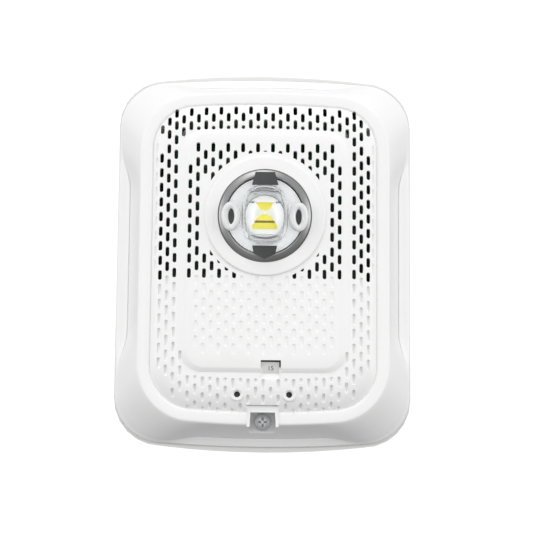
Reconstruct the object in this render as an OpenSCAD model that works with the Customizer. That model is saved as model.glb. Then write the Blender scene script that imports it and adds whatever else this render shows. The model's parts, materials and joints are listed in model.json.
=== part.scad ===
// Wall horn strobe: a plug-in sounder and LED flash appliance on a mounting plate.
//
// Frame: X is to the right as seen from the room, Z is up, and Y runs into the wall.
// The origin is the centre of the plate's back face, so the wall plane is Y = 0 and
// every height h above the wall is drawn at Y = -h.

/* [Outline] */
// Width of the mounting plate
plate_w = 119; // [116:0.5:145]
// Height of the mounting plate at its middle
plate_h = 154; // [150:0.5:190]
// Corner radius of the plate and the cover
corner_r = 19; // [14:0.5:24]
// How far the plate's top and bottom edges bow outward
plate_bow = 2.3; // [0.5:0.1:4]
// How far the plate's top and bottom edges stand out past the cover
plate_reveal = 2; // [1:0.1:4]
// How far the cover's top and bottom edges bow outward
cover_bow = 1.4; // [0.3:0.1:3]

/* [Heights above the wall] */
// Thickness of the mounting plate
plate_t = 2.2; // [1.8:0.1:3]
// Height of the raised rim
rim_h = 19; // [18:0.25:23]
// How far the rounded panel rises from the rim to the centre panel
crown_rise = 3; // [2.2:0.1:4]
// How far the centre panel rises above the rounded panel
panel_rise = 1; // [0.5:0.1:2]
// Height of the lens above the centre panel
lens_rise = 11.5; // [8:0.25:16]

/* [Cover] */
// Wall thickness of the cover
wall_t = 2; // [1.4:0.1:2.4]
// Distance from the cover's side edge to the rim
rim_inset_x = 9.8; // [8:0.1:13]
// Distance from the cover's top or bottom edge to the rim
rim_inset_z = 8.6; // [8:0.1:13]
// Width of the raised rim
rim_w = 4.7; // [3:0.1:6]
// Width of the raised centre panel, over its bevel
panel_w = 66.8; // [60:0.2:70]
// Top edge of the centre panel's bevel above the middle
panel_top = 50; // [44:0.5:52]
// Bottom edge of the centre panel's bevel below the middle
panel_bottom = 46; // [40:0.5:48]
// Width of the centre panel's bevel at its sides
bevel_w = 3.4; // [1:0.1:4]

/* [Sound slots] */
// Distance between neighbouring slot columns, and between neighbouring slot rows
slot_pitch = 2.95; // [2.8:0.05:3.2]
// Width of a slot
slot_w = 1.4; // [1:0.1:1.6]
// Length of a slot
slot_l = 3.7; // [2.4:0.1:4]
// Height of the inner group's top row above the middle
slot_top = 42.7; // [38:0.1:44]
// Height of the outer group's top row above the middle
slot_arch = 58.1; // [54:0.1:59]

/* [Lens] */
// Height of the lens above the middle of the plate
lens_z = 15.6; // [12:0.1:18]
// Outer radius of the bright ring
ring_r = 18.4; // [16:0.1:19]
// Radius of the plain boss around the ring
boss_r = 23; // [22:0.1:24]
// Radius of the clear dome
dome_r = 11; // [8:0.1:12]

/* [Hinge and screw] */
// Radius of the hinge pins
pin_r = 1; // [0.8:0.05:1.1]
// Running clearance of a turning fit, on the radius
run_gap = 0.05; // [0.02:0.01:0.08]
// Distance from the plate's bottom edge to the captive screw
screw_inset = 12; // [11:0.1:13]
// Radius of the captive screw's shank
screw_r = 1.75; // [1.2:0.05:2]
// How far the captive screw travels
screw_travel = 3; // [2:0.1:3.2]

/* [Settings] */
// Number of light settings on the slider
settings = 7; // [4:1:7]
// Distance between two light settings
setting_pitch = 5.2; // [4.5:0.1:5.4]
// Height of the setting window below the middle of the plate
window_drop = 44.8; // [43:0.1:46]
// Distance of the setting window to the right of the middle
window_x = 3.3; // [0:0.1:6]

/* [Wiring] */
// Number of wire terminals
terminals = 5; // [3:1:5]
// Distance between two wire terminals
terminal_pitch = 12; // [10:0.5:12]
// Width of the wiring opening
opening_w = 52; // [40:1:54]

/* [Hidden] */

gap = 0.3;            // plain clearance between pieces that don't touch
eps = 0.02;           // how far a cut runs past the face it opens
cover_w = plate_w - 0.4;
cover_h = plate_h - 2 * plate_reveal;
foot_h = plate_t + gap;
screw_drop = plate_h / 2 - screw_inset;
guard_x = 10;
guard_drop = screw_drop - 10.6;
top_strip_t = plate_t - 0.6;   // the plate is thinner above the hinge, where the cover swings back
top_foot_h = foot_h + 0.9;     // and the cover's edge is cut back there

rim_out_w = cover_w - 2 * rim_inset_x;
rim_out_h = cover_h - 2 * rim_inset_z;
rim_in_w = rim_out_w - 2 * rim_w;
rim_in_h = rim_out_h - 2 * rim_w;
rim_out_r = 22;
rim_in_r = rim_out_r - rim_w;
rim_bow = 1;
rim_step = 0.5;                // small drop inside the rim
shoulder_h = rim_h + crown_rise;
panel_h = shoulder_h + panel_rise;
panel_r = 10;
panel_z = (panel_top - panel_bottom) / 2;
panel_len = panel_top + panel_bottom;
bevel_z = 2;                   // width of the centre panel's bevel at its top and bottom

side_steps = 6;
arc_steps = 6;
top_steps = 4;

// the hinge: pins on the plate, hooks on the chassis
hinge_z = cover_h / 2 - 6.3;
hinge_h = plate_t + 1.7;
hook_r = pin_r + 0.8;
hook_x = 24;                   // distance of each hook from the middle
hook_w = 8;
lug_t = 2;

// layers inside the appliance
chassis_h = 6;
chassis_t = 1.6;
chassis_w = rim_out_w - 3;
chassis_top = hinge_z - 6.5;
chassis_bottom = screw_drop - 7.5;
chassis_len = chassis_top + chassis_bottom;
board_h = 9.6;
board_t = 1.6;
board_top = board_h + board_t;
board_w = 74;
board_up = 58;
board_down = 56;
boss_x = board_w / 2 + 3.9;    // chassis screws stand outside the board
boss_up = 53;
boss_down = 49;
pilot_r = 1.25;
thread_r = 1.2;
board_post_x = 31;
board_post_up = 50;
board_post_down = 39.5;

// the light
ring_t = 1.5;
ring_face = panel_h + 1.9;
ring_bottom = ring_face - ring_t;
ring_in_r = ring_r - 2.9;
gasket_t = 0.4;
gasket_in_r = ring_in_r - 0.4;
flange_r = ring_r - 0.8;
flange_t = 1.5;
flange_top = ring_bottom - gasket_t;
flange_bottom = flange_top - flange_t;
lip_r = flange_r - 1;
lip_t = 1.2;
reflector_t = 0.8;
lens_top = panel_h + lens_rise;
sink_h = board_top + 5.4;
sink_t = 1.4;
led_board_t = 1.2;
led_board_top = sink_h + sink_t + led_board_t;
led_t = 1.1;
sink_r = 13.5;

// the sounder
sounder_r = 22;
sounder_t = 4.4;
piezo_h = board_top + 1.8;
piezo_t = 0.3;
piezo_r = 20;
ceramic_r = 13;
ceramic_t = 0.25;
cap_t = 1;

// wire terminals
block_t = 5;
block_top = plate_t + block_t;
block_hi = -14;
block_lo = -34;
block_w = terminals * terminal_pitch + 2;
screw_row = block_hi - 5.5;
blade_row = block_lo + 5;
blade_w = 4;
blade_t = 0.8;
blade_tip = plate_t + 1.2;
window_clear = 1.4;
opening_hi = 37;
opening_lo = 5;

// boxes it screws to: single gang, double gang and octagon
gang_z = 83.3;
gang_x = 46;
octagon_x = 88.9;
box_hole_r = 2.2;

// captive screw: drawn backed out, with its tip just clear of the insert
recess_w = 9.4;
recess_floor = 10;
recess_wall = 1.6;
recess_top = screw_drop - 3.7;
seat_h = recess_floor - 2.8;
head_r = 3.4;
head_t = 2.2;
insert_top = plate_t + 0.7;
insert_r = 2.9;
screw_tip = insert_top + 0.5;
head_h = recess_floor + screw_travel;
retainer_t = 0.6;
retainer_r = 3;

// light setting slider
window_w = 5.6;
window_l = 7.4;
strip_h = rim_h - 0.6;
strip_t = 0.8;
strip_w = 6.4;
slider_travel = (settings - 1) * setting_pitch;
strip_l = settings * setting_pitch + 0.8;
strip_right = window_x + setting_pitch / 2 + 0.4;
stem_w = 3;
stem_t = 2.4;
stem_x = window_x - slider_travel / 2 - stem_w / 2;
slot_end = 0.6;

// tone switch
tone_x = 28;
tone_z = -47;
tone_r = 3;
tone_body = 10;
tone_body_t = 4;

white = "white";
cream = [0.93, 0.93, 0.91];
black = [0.1, 0.1, 0.11];
grey = [0.35, 0.36, 0.38];
steel = "silver";
copper = [0.78, 0.6, 0.3];

// ---------- helpers ----------

// a flat shape, drawn in X and Z, made solid between two heights above the wall
module slab(h0, h1) {
    rotate([90, 0, 0])
        translate([0, 0, h0])
            linear_extrude(h1 - h0)
                children();
}

// a profile of radius and height, turned about an axis that stands on the wall
module turned(profile, x = 0, z = 0) {
    translate([x, 0, z])
        rotate([90, 0, 0])
            rotate_extrude($fn = 96)
                polygon(profile);
}

// a disc or pin standing on the wall
module post(r, h0, h1, x = 0, z = 0) {
    slab(h0, h1)
        translate([x, z])
            circle(r, $fn = 64);
}

// a rectangle given by its middle
module plate_at(x, z, w, l) {
    translate([x - w / 2, z - l / 2])
        square([w, l]);
}

// a slot with round ends, upright or lying
module slot_shape(x, z, w, l) {
    plate_at(x, z, w, l - w);
    for (s = [-1, 1])
        translate([x, z + s * (l - w) / 2])
            circle(w / 2, $fn = 24);
}

function lerp(a, b, t) = a + (b - a) * t;

// smooth step from 0 to 1 as v goes from a to b
function ease(a, b, v) = let (t = max(0, min(1, (v - a) / (b - a)))) t * t * (3 - 2 * t);

// one quarter of a rounded outline whose top edge bows out, from the right to the top
function quarter(w, l, r, bow) = concat(
    [for (i = [0:side_steps - 1]) [w / 2, (l / 2 - bow - r) * i / side_steps]],
    [for (i = [0:arc_steps - 1]) let (a = 90 * i / arc_steps)
        [w / 2 - r + r * cos(a), l / 2 - bow - r + r * sin(a)]],
    [for (i = [0:top_steps]) let (x = (w / 2 - r) * (1 - i / top_steps))
        [x, l / 2 - bow * pow(x / (w / 2 - r), 2)]]
);

// the whole outline, mirrored from its quarter, with its middle at height z
function outline(w, l, r, bow, z = 0) =
    let (q = quarter(w, l, r, bow), n = len(q) - 1)
    [for (p = concat(
        [for (i = [0:n - 1]) q[i]],
        [for (i = [0:n - 1]) [-q[n - i][0], q[n - i][1]]],
        [for (i = [0:n - 1]) -q[i]],
        [for (i = [0:n - 1]) [q[n - i][0], -q[n - i][1]]]
    )) [p[0], p[1] + z]];

// an outline placed at a height above the wall
function ring_at(points, h) = [for (p = points) [p[0], -h, p[1]]];

function blend_rings(a, b, t) = [for (i = [0:len(a) - 1]) lerp(a[i], b[i], t)];

function middle(ring) = (ring[0] + ring[len(ring) / 2]) / 2;

// a closed solid through a stack of rings, from the wall outward, with a fan at each end
module loft(rings) {
    n = len(rings[0]);
    last = len(rings) - 1;
    foot = (last + 1) * n;
    polyhedron(
        points = concat([for (r = rings) for (p = r) p], [middle(rings[0]), middle(rings[last])]),
        faces = concat(
            [for (i = [0:n - 1]) [foot, i, (i + 1) % n]],
            [for (k = [0:last - 1]) for (i = [0:n - 1]) each [
                [k * n + i, (k + 1) * n + i, k * n + (i + 1) % n],
                [k * n + (i + 1) % n, (k + 1) * n + i, (k + 1) * n + (i + 1) % n]
            ]],
            [for (i = [0:n - 1]) [foot + 1, last * n + (i + 1) % n, last * n + i]]
        )
    );
}

// ---------- the cover's skin ----------

edge_ring = outline(cover_w, cover_h, corner_r, cover_bow);
rim_out_ring = outline(rim_out_w, rim_out_h, rim_out_r, rim_bow);
rim_in_ring = outline(rim_in_w, rim_in_h, rim_in_r, rim_bow);
step_ring = outline(rim_in_w - 0.6, rim_in_h - 0.6, rim_in_r, rim_bow);
bevel_ring = outline(panel_w, panel_len, panel_r, 0, panel_z);
panel_ring = outline(panel_w - 2 * bevel_w, panel_len - 2 * bevel_z, panel_r - 2.5, 0, panel_z);

// how much a point of the outline belongs to the hollowed middle of its side
function hollowed(p) = max(
    1 - ease(cover_h / 2 - 42, cover_h / 2 - 28, abs(p[1])),
    0.75 * (1 - ease(cover_w / 2 - 30, cover_w / 2 - 19, abs(p[0])))
);

// each row: share of the height from foot to rim, then how far in towards the rim
// the skin is, at a corner and at the hollowed middle of a side
skirt = [
    [0, 0, 0], [0.07, 0.02, 0.03], [0.13, 0.07, 0.3], [0.18, 0.13, 0.48], [0.28, 0.24, 0.62],
    [0.45, 0.42, 0.73], [0.65, 0.62, 0.84], [0.85, 0.84, 0.93], [0.97, 0.97, 0.98], [1, 1, 1]
];

function skirt_ring(row) = [for (i = [0:len(edge_ring) - 1])
    let (t = lerp(row[1], row[2], hollowed(edge_ring[i])), p = lerp(edge_ring[i], rim_out_ring[i], t))
    [p[0], -lerp(foot_h, rim_h, row[0]), p[1]]];

// height of the rounded panel, from the step inside the rim to the centre panel
function crown_h(t) = lerp(rim_h - rim_step, shoulder_h, 1 - pow(1 - t, 2.2));

function crown_rings(drop, from) = [for (t = from)
    ring_at(blend_rings(step_ring, bevel_ring, t), crown_h(t) - drop)];

module skin_outside() {
    loft(concat(
        [for (row = skirt) skirt_ring(row)],
        [ring_at(rim_in_ring, rim_h)],
        crown_rings(0, [0, 0.3, 0.6, 1]),
        [ring_at(panel_ring, panel_h)]
    ));
}

module skin_inside() {
    inner = wall_t - 0.1;
    loft(concat(
        [ring_at(outline(rim_out_w + 3.8, rim_out_h + 3.8, rim_out_r, rim_bow), foot_h - 1)],
        [ring_at(outline(rim_out_w + 3.8, rim_out_h + 3.8, rim_out_r, rim_bow), lerp(foot_h, rim_h, 0.28))],
        [ring_at(outline(rim_out_w - 0.4, rim_out_h - 0.4, rim_out_r - 1, rim_bow), lerp(foot_h, rim_h, 0.62))],
        [ring_at(outline(rim_out_w - 2 * inner, rim_out_h - 2 * inner, rim_out_r - 2, rim_bow), rim_h - wall_t - rim_step)],
        crown_rings(wall_t, [0.15, 0.4, 0.7]),
        [ring_at(outline(panel_w - 1.4, panel_len - 1.4, panel_r, 0, panel_z), shoulder_h - wall_t)],
        [ring_at(outline(panel_w - 2 * bevel_w - 1, panel_len - 2 * bevel_z - 1, panel_r - 2.5, 0, panel_z),
                 panel_h - wall_t)]
    ));
}

// ---------- sound slots ----------

slot_last = 17;                // rows below the inner group's top row
arch_rows = 3;

function arch_z(x, row) = slot_arch - row * slot_pitch - 1.5 * pow(x / 35, 2);

// the inner group: rows beside and above the lens, on the centre panel
inner_slots = [for (row = [0:slot_last]) for (col = [-10:10])
    let (x = col * slot_pitch, z = slot_top - row * slot_pitch)
    if ((abs(col) + row) % 2 == 1 && (abs(col) < 10 || row > 2)
        && norm([x, z - lens_z]) > boss_r + slot_l / 2 - 0.2) [x, z]];

// the outer group: an arch of three rows along the top
arch_slots = [for (row = [0:arch_rows - 1]) for (col = [-11:11])
    let (x = col * slot_pitch)
    if ((abs(col) + row) % 2 == 0) [x, arch_z(x, row)]];

// and three columns down each side
side_slots = [for (side = [-1, 1]) for (col = [12:14]) for (row = [-4:slot_last])
    let (x = side * (col * slot_pitch - 0.25 * (col - 11)), z = slot_top - row * slot_pitch - 0.7 * (col - 11.6))
    if ((col + row) % 2 == 1 && !(col == 14 && row == -1) && z < slot_arch - 2.4 - 2.75 * (col - 12)) [x, z]];

all_slots = concat(inner_slots, arch_slots, side_slots);

// ---------- the mounting plate and what stays on the wall ----------

module mounting_plate() {
    boxes = [for (x = [-gang_x / 2, 0, gang_x / 2]) for (z = [-gang_z / 2, gang_z / 2]) [x, z]];
    color(cream)
        difference() {
            union() {
                slab(0, top_strip_t)
                    polygon(outline(plate_w, plate_h, corner_r, plate_bow));
                slab(0, plate_t)
                    intersection() {
                        polygon(outline(plate_w, plate_h, corner_r, plate_bow));
                        translate([-plate_w / 2, -plate_h / 2])
                            square([plate_w, plate_h / 2 + hinge_z - 1]);
                    }
                plate_lip();
                hinge_lugs();
            }
            slab(-1, plate_t + 1)
                plate_at(0, (opening_hi + opening_lo) / 2, opening_w, opening_hi - opening_lo);
            for (p = boxes)
                post(box_hole_r, -1, plate_t + 1, p[0], p[1]);
            for (s = [-1, 1])
                post(box_hole_r, -1, plate_t + 1, s * octagon_x / 2, 0);
            post(insert_r, -1, insert_top + 1, 0, -screw_drop);
            // knock-through for surface wiring, above the single gang hole
            slab(-1, plate_t + 1)
                slot_shape(0, hinge_z - 12, 6, 14);
        }
}

// low rib that centres the cover, left open around the hinge and the screw
module plate_lip() {
    lip_w = rim_out_w + 3.8 - 4 * gap;
    lip_h = rim_out_h + 3.8 - 4 * gap;
    slab(plate_t - eps, plate_t + 1.8)
        difference() {
            polygon(outline(lip_w, lip_h, rim_out_r, rim_bow));
            polygon(outline(lip_w - 2.4, lip_h - 2.4, rim_out_r - 1.2, rim_bow));
            plate_at(0, lip_h / 2, lip_w + 1, 40);
            plate_at(0, -lip_h / 2, 16, 20);
        }
}

// two pairs of lugs, each pair with a pin across it
module hinge_lugs() {
    for (s = [-1, 1])
        translate([s * hook_x, 0, 0]) {
            for (e = [-1, 1])
                translate([e * (hook_w / 2 + gap + lug_t / 2), -hinge_h, hinge_z])
                    rotate([0, 90, 0])
                        cylinder(r = hook_r - 0.3, h = lug_t, center = true, $fn = 48);
            for (e = [-1, 1])
                translate([e * (hook_w / 2 + gap + lug_t / 2) - lug_t / 2, -hinge_h, hinge_z - hook_r + 0.3])
                    cube([lug_t, hinge_h - 0.2, 2 * hook_r - 0.6]);
            translate([0, -hinge_h, hinge_z])
                rotate([0, 90, 0])
                    cylinder(r = pin_r, h = hook_w + 2 * gap + lug_t, center = true, $fn = 48);
        }
}

module screw_insert() {
    color(copper)
        difference() {
            post(insert_r - 0.02, 0.4, insert_top, 0, -screw_drop);
            post(screw_r + run_gap, 0, insert_top + 1, 0, -screw_drop);
        }
}

function terminal_x(i) = (i - (terminals - 1) / 2) * terminal_pitch;

module terminal_block() {
    color(black)
        difference() {
            slab(plate_t, block_top)
                plate_at(0, (block_hi + block_lo) / 2, block_w, block_hi - block_lo);
            for (i = [0:terminals - 1]) {
                // well for the clamp and its screw, open at the top edge for the wire
                slab(plate_t + 1, block_top + 1)
                    plate_at(terminal_x(i), screw_row + 1, terminal_pitch - 3, 9.2);
                // socket for the contact blade
                slab(plate_t + 0.8, block_top + 1)
                    plate_at(terminal_x(i), blade_row, blade_w + 1.2, 5);
            }
        }
}

module terminal_clamps() {
    color(copper)
        for (i = [0:terminals - 1])
            difference() {
                slab(plate_t + 1, plate_t + 2)
                    plate_at(terminal_x(i), screw_row + 0.6, terminal_pitch - 3.6, 7.6);
                post(1.5 + run_gap, 0, block_top, terminal_x(i), screw_row + 0.6);
            }
}

module terminal_screws() {
    color(steel)
        for (i = [0:terminals - 1])
            difference() {
                union() {
                    post(1.5, plate_t + 1, plate_t + 2.6, terminal_x(i), screw_row + 0.6);
                    post(3, plate_t + 2.6, block_top - 0.6, terminal_x(i), screw_row + 0.6);
                }
                slab(block_top - 1.5, block_top)
                    plate_at(terminal_x(i), screw_row + 0.6, 0.8, 8);
                slab(block_top - 1.5, block_top)
                    plate_at(terminal_x(i), screw_row + 0.6, 8, 0.8);
            }
}

// a folded strip each side of the blade, joined across the socket's floor
module contact_springs() {
    color(copper)
        for (i = [0:terminals - 1]) {
            slab(plate_t + 0.8, plate_t + 1.1)
                plate_at(terminal_x(i), blade_row, blade_w, 4.2);
            for (s = [-1, 1])
                slab(plate_t + 1.1, block_top - 0.7)
                    plate_at(terminal_x(i), blade_row + s * 1.95, blade_w, 0.3);
        }
}

// bridges the outer terminals until the appliance is plugged in
module shorting_spring() {
    color(steel)
        slab(block_top, block_top + 0.3) {
            plate_at(0, (block_lo + blade_row - 2.5) / 2, block_w - 6, 1.6);
            for (s = [-1, 1])
                plate_at(s * (block_w / 2 - 4), block_lo + 1.8, 2, 3);
        }
}

// ---------- the appliance's shell ----------

module front_cover() {
    color(white)
        difference() {
            union() {
                difference() {
                    skin_outside();
                    skin_inside();
                }
                lens_boss();
                screw_pocket();
                chassis_bosses();
            }
            post(ring_r + gap / 2, flange_bottom, panel_h + 5, 0, lens_z);
            post(lip_r, 5, panel_h + 5, 0, lens_z);
            for (p = all_slots)
                slab(rim_h - 4, panel_h + 1)
                    slot_shape(p[0], p[1], slot_w, slot_l);
            setting_window();
            recess_cut();
            post(screw_r + 0.35, 0, rim_h, 0, -screw_drop);
            top_relief();
            hinge_pockets();
            guard_holes();
        }
}

// raised seat around the bright ring, with a lip inside it that the lens rests on
module lens_boss() {
    post(boss_r, flange_bottom - lip_t, panel_h + 0.8, 0, lens_z);
}

// solid block under the screw's recess, cut to the cover's own outside
module screw_pocket() {
    intersection() {
        skin_outside();
        slab(seat_h, rim_h + 0.3)
            plate_at(0, -screw_drop - 0.5, recess_w + 2 * recess_wall, 13.4);
    }
}

// the recess widens towards its open lower end
module recess_cut() {
    slab(recess_floor, panel_h + 4)
        polygon([
            [-recess_w / 2, -recess_top], [recess_w / 2, -recess_top],
            [recess_w / 2 + 0.8, -cover_h / 2 - 1], [-recess_w / 2 - 0.8, -cover_h / 2 - 1]
        ]);
}

// four posts that the chassis screws bite into
module chassis_bosses() {
    for (s = [-1, 1])
        for (z = [boss_up, -boss_down])
            difference() {
                post(2.8, chassis_h + chassis_t, rim_h - 1, s * boss_x, z);
                post(pilot_r, chassis_h, rim_h - 3, s * boss_x, z);
            }
}

// window in front of the setting slider, with a ramp below it
module setting_window() {
    slab(strip_h, panel_h + 1)
        plate_at(window_x, -window_drop, window_w, window_l - 2);
    slab(shoulder_h - 1.2, panel_h + 1)
        plate_at(window_x, -window_drop, window_w + 2, window_l);
}

// the edge is cut back above the hinge, so that the cover can swing
module top_relief() {
    slab(0, top_foot_h)
        plate_at(0, cover_h / 2 - 2, cover_w + 2, 2 * (cover_h / 2 - 2 - hinge_z + 4));
}

// room for the lugs and hooks inside the cover's top edge
module hinge_pockets() {
    pocket_w = hook_w + 2 * lug_t + 4 * gap;
    for (s = [-1, 1])
        translate([s * hook_x, 0, hinge_z]) {
            translate([0, -hinge_h, 0])
                rotate([0, 90, 0])
                    cylinder(r = hook_r + 0.5, h = pocket_w, center = true, $fn = 48);
            translate([-pocket_w / 2, -chassis_h - chassis_t - gap, -hook_r - 2])
                cube([pocket_w, chassis_h + chassis_t + gap - hinge_h, hook_r + 2 + gap]);
        }
}

// two small guarded holes beside the screw
module guard_holes() {
    for (s = [-1, 1])
        post(1.15, rim_h - 3, panel_h, s * guard_x, -guard_drop);
}

module rear_chassis() {
    color(black)
        difference() {
            union() {
                slab(chassis_h, chassis_h + chassis_t)
                    polygon(outline(chassis_w, chassis_len, rim_out_r - 2, 0, (chassis_top - chassis_bottom) / 2));
                hinge_hooks();
                board_posts();
            }
            // opening over the wire terminals
            slab(0, board_h)
                plate_at(0, (block_hi + block_lo) / 2, block_w + 2 * window_clear, block_hi - block_lo + 2 * window_clear);
            // slot for the slider's stem
            slab(0, board_h)
                plate_at(stem_x + slider_travel / 2, -window_drop, stem_w + slider_travel + 2 * slot_end, stem_t + 2 * gap);
            post(tone_r + 0.8, 0, board_h, tone_x, tone_z);
            for (s = [-1, 1]) {
                for (z = [boss_up, -boss_down])
                    post(thread_r + 0.25, 0, board_h, s * boss_x, z);
                for (z = [board_post_up, -board_post_down])
                    post(pilot_r, chassis_h + 0.8, board_h + 1, s * board_post_x, z);
            }
        }
}

// hooks hang on the plate's pins, with their mouths facing down
module hinge_hooks() {
    for (s = [-1, 1])
        difference() {
            translate([s * hook_x - hook_w / 2, 0, 0]) {
                translate([0, -hinge_h, hinge_z])
                    rotate([0, 90, 0])
                        cylinder(r = hook_r, h = hook_w, $fn = 48);
                translate([0, -chassis_h - chassis_t, chassis_top - 3])
                    cube([hook_w, chassis_t, hinge_z - chassis_top + 3]);
                translate([0, -chassis_h - chassis_t, hinge_z - hook_r])
                    cube([hook_w, chassis_h + chassis_t - hinge_h, hook_r]);
            }
            translate([s * hook_x, -hinge_h, hinge_z])
                rotate([0, 90, 0])
                    cylinder(r = pin_r + run_gap, h = hook_w + 1, center = true, $fn = 48);
            translate([s * hook_x - hook_w / 2 - 1, -hinge_h - pin_r - run_gap, hinge_z - hook_r - 1])
                cube([hook_w + 2, 2 * (pin_r + run_gap), hook_r + 1]);
        }
}

// posts that the circuit board is screwed to
module board_posts() {
    for (s = [-1, 1])
        for (z = [board_post_up, -board_post_down])
            post(2.6, chassis_h + chassis_t - eps, board_h, s * board_post_x, z);
}

// self-tapping screws, driven in from the back
module chassis_screws() {
    color(steel)
        for (s = [-1, 1])
            for (z = [boss_up, -boss_down])
                difference() {
                    union() {
                        post(2.3, chassis_h - 1.3, chassis_h, s * boss_x, z);
                        post(thread_r, chassis_h - 0.5, rim_h - 4, s * boss_x, z);
                    }
                    slab(0, chassis_h - 0.6)
                        plate_at(s * boss_x, z, 0.6, 3);
                    slab(0, chassis_h - 0.6)
                        plate_at(s * boss_x, z, 3, 0.6);
                }
}

// ---------- the light ----------

module lens() {
    color([0.85, 0.93, 0.97, 0.4])
        difference() {
            union() {
                turned([
                    [0, flange_bottom], [flange_r, flange_bottom], [flange_r, flange_top],
                    [gasket_in_r, flange_top], [gasket_in_r - 0.4, ring_face - 0.6], [0, ring_face - 0.6]
                ], 0, lens_z);
                turned(concat(
                    [[0, flange_bottom + 0.5], [dome_r, flange_bottom + 0.5]],
                    [for (i = [0:12]) let (a = 90 * i / 12)
                        [dome_r * cos(a), lerp(ring_face - 1, lens_top, sin(a))]]
                ), 0, lens_z);
                // the two side lobes
                for (s = [-1, 1])
                    turned([
                        [0, flange_top], [3.9, flange_top], [3.9, ring_face + 3], [3, ring_face + 4.4],
                        [0, ring_face + 4.4]
                    ], s * (gasket_in_r - 4.1), lens_z);
            }
            // hollow above the emitter
            turned(concat(
                [[0, flange_bottom - 1], [dome_r - 3, flange_bottom - 1]],
                [for (i = [0:8]) let (a = 90 * i / 8)
                    [(dome_r - 3) * cos(a), lerp(ring_face - 1, lens_top - 4, sin(a))]]
            ), 0, lens_z);
        }
}

module lens_ring() {
    color(steel)
        turned([
            [flange_r + 0.1, flange_bottom], [ring_r, flange_bottom], [ring_r, ring_face - 0.4],
            [ring_r - 0.4, ring_face], [ring_in_r + 0.3, ring_face], [ring_in_r, ring_face - 0.3],
            [ring_in_r, ring_bottom], [flange_r + 0.1, ring_bottom]
        ], 0, lens_z);
}

module lens_gasket() {
    color(black)
        turned([
            [gasket_in_r, flange_top], [flange_r, flange_top],
            [flange_r, ring_bottom], [gasket_in_r, ring_bottom]
        ], 0, lens_z);
}

// dark clip above the dome, wider towards the dome
module upper_lens_clip() {
    color(grey)
        slab(ring_face, ring_face + 0.8)
            translate([0, lens_z])
                polygon([[-5.2, dome_r + 0.9], [5.2, dome_r + 0.9], [3.8, ring_r - 1.4], [-3.8, ring_r - 1.4]]);
}

// dark clip below the dome, with a point towards the ring
module lower_lens_clip() {
    color(grey)
        slab(ring_face, ring_face + 0.8)
            translate([0, lens_z])
                polygon([
                    [-4.9, -dome_r - 1.2], [4.9, -dome_r - 1.2], [4.2, -ring_r + 3],
                    [0, -ring_r + 1], [-4.2, -ring_r + 3]
                ]);
}

module reflector() {
    low = led_board_top;
    high = flange_bottom - 0.2;
    edge = lip_r - 0.4;
    color(white)
        turned([
            [5, low], [6, low], [edge - 1, high - reflector_t], [edge, high - reflector_t],
            [edge, high], [edge - 1.4, high], [5, low + reflector_t]
        ], 0, lens_z);
}

module led_emitter() {
    color([0.95, 0.9, 0.35])
        slab(led_board_top, led_board_top + led_t)
            plate_at(0, lens_z, 5.2, 5.2);
}

module led_board() {
    color(white)
        difference() {
            post(sink_r, sink_h + sink_t, led_board_top, 0, lens_z);
            for (s = [-1, 1])
                post(0.8, 0, led_board_top + 1, s * 9, lens_z);
        }
}

module heat_sink() {
    color(steel)
        difference() {
            post(sink_r + 1, sink_h, sink_h + sink_t, 0, lens_z);
            for (s = [-1, 1])
                post(1.2, 0, sink_h + 5, s * 9, lens_z);
        }
}

// two pins that carry current from the main board up to the emitter board
module led_posts() {
    color(copper)
        for (s = [-1, 1])
            post(0.6, board_top, led_board_top - 0.2, s * 9, lens_z);
}

// ---------- the electronics ----------

module main_board() {
    color([0.05, 0.3, 0.15])
        difference() {
            slab(board_h, board_top)
                plate_at(0, (board_up - board_down) / 2, board_w, board_up + board_down);
            slab(0, board_top + 1)
                plate_at(stem_x + slider_travel / 2, -window_drop, stem_w + slider_travel + 2 * slot_end, stem_t + 2 * gap);
            post(tone_r + 0.5, 0, board_top + 1, tone_x, tone_z);
            for (s = [-1, 1])
                for (z = [board_post_up, -board_post_down])
                    post(thread_r + 0.25, 0, board_top + 1, s * board_post_x, z);
            for (s = [-1, 1]) {
                post(0.7, 0, board_top + 1, s * 9, lens_z);
                post(0.7, 0, board_top + 1, s * 4, lens_z + sounder_r + 3);
            }
        }
}

module board_screws() {
    color(steel)
        for (s = [-1, 1])
            for (z = [board_post_up, -board_post_down])
                difference() {
                    union() {
                        post(2.3, board_top, board_top + 1.3, s * board_post_x, z);
                        post(thread_r, chassis_h + 1.2, board_top + 0.5, s * board_post_x, z);
                    }
                    slab(board_top + 0.6, board_top + 2)
                        plate_at(s * board_post_x, z, 0.6, 3);
                    slab(board_top + 0.6, board_top + 2)
                        plate_at(s * board_post_x, z, 3, 0.6);
                }
}

// holds the contact blades on the back of the board
module contact_carrier() {
    color(black)
        difference() {
            slab(block_top + 0.8, board_h)
                plate_at(0, blade_row, block_w - 4, 5);
            for (i = [0:terminals - 1])
                slab(0, board_h + 1)
                    plate_at(terminal_x(i), blade_row, blade_w - 1, blade_t);
        }
}

module contact_blades() {
    color(copper)
        for (i = [0:terminals - 1])
            slab(blade_tip, board_h)
                plate_at(terminal_x(i), blade_row, blade_w - 1, blade_t);
}

module storage_capacitors() {
    color([0.15, 0.2, 0.4])
        for (s = [-1, 1])
            translate([s * 22 - 10, -board_top - 4.1, -22])
                rotate([0, 90, 0])
                    cylinder(r = 4, h = 20, $fn = 48);
}

module inductor() {
    color(grey)
        turned([
            [2, board_top], [5, board_top], [5, board_top + 1], [3.6, board_top + 1.2],
            [3.6, board_top + 3.8], [5, board_top + 4], [5, board_top + 5], [2, board_top + 5]
        ], 20, -33);
}

module controller_chip() {
    color(black)
        slab(board_top, board_top + 1)
            plate_at(-4, -33, 7, 7);
}

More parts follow.
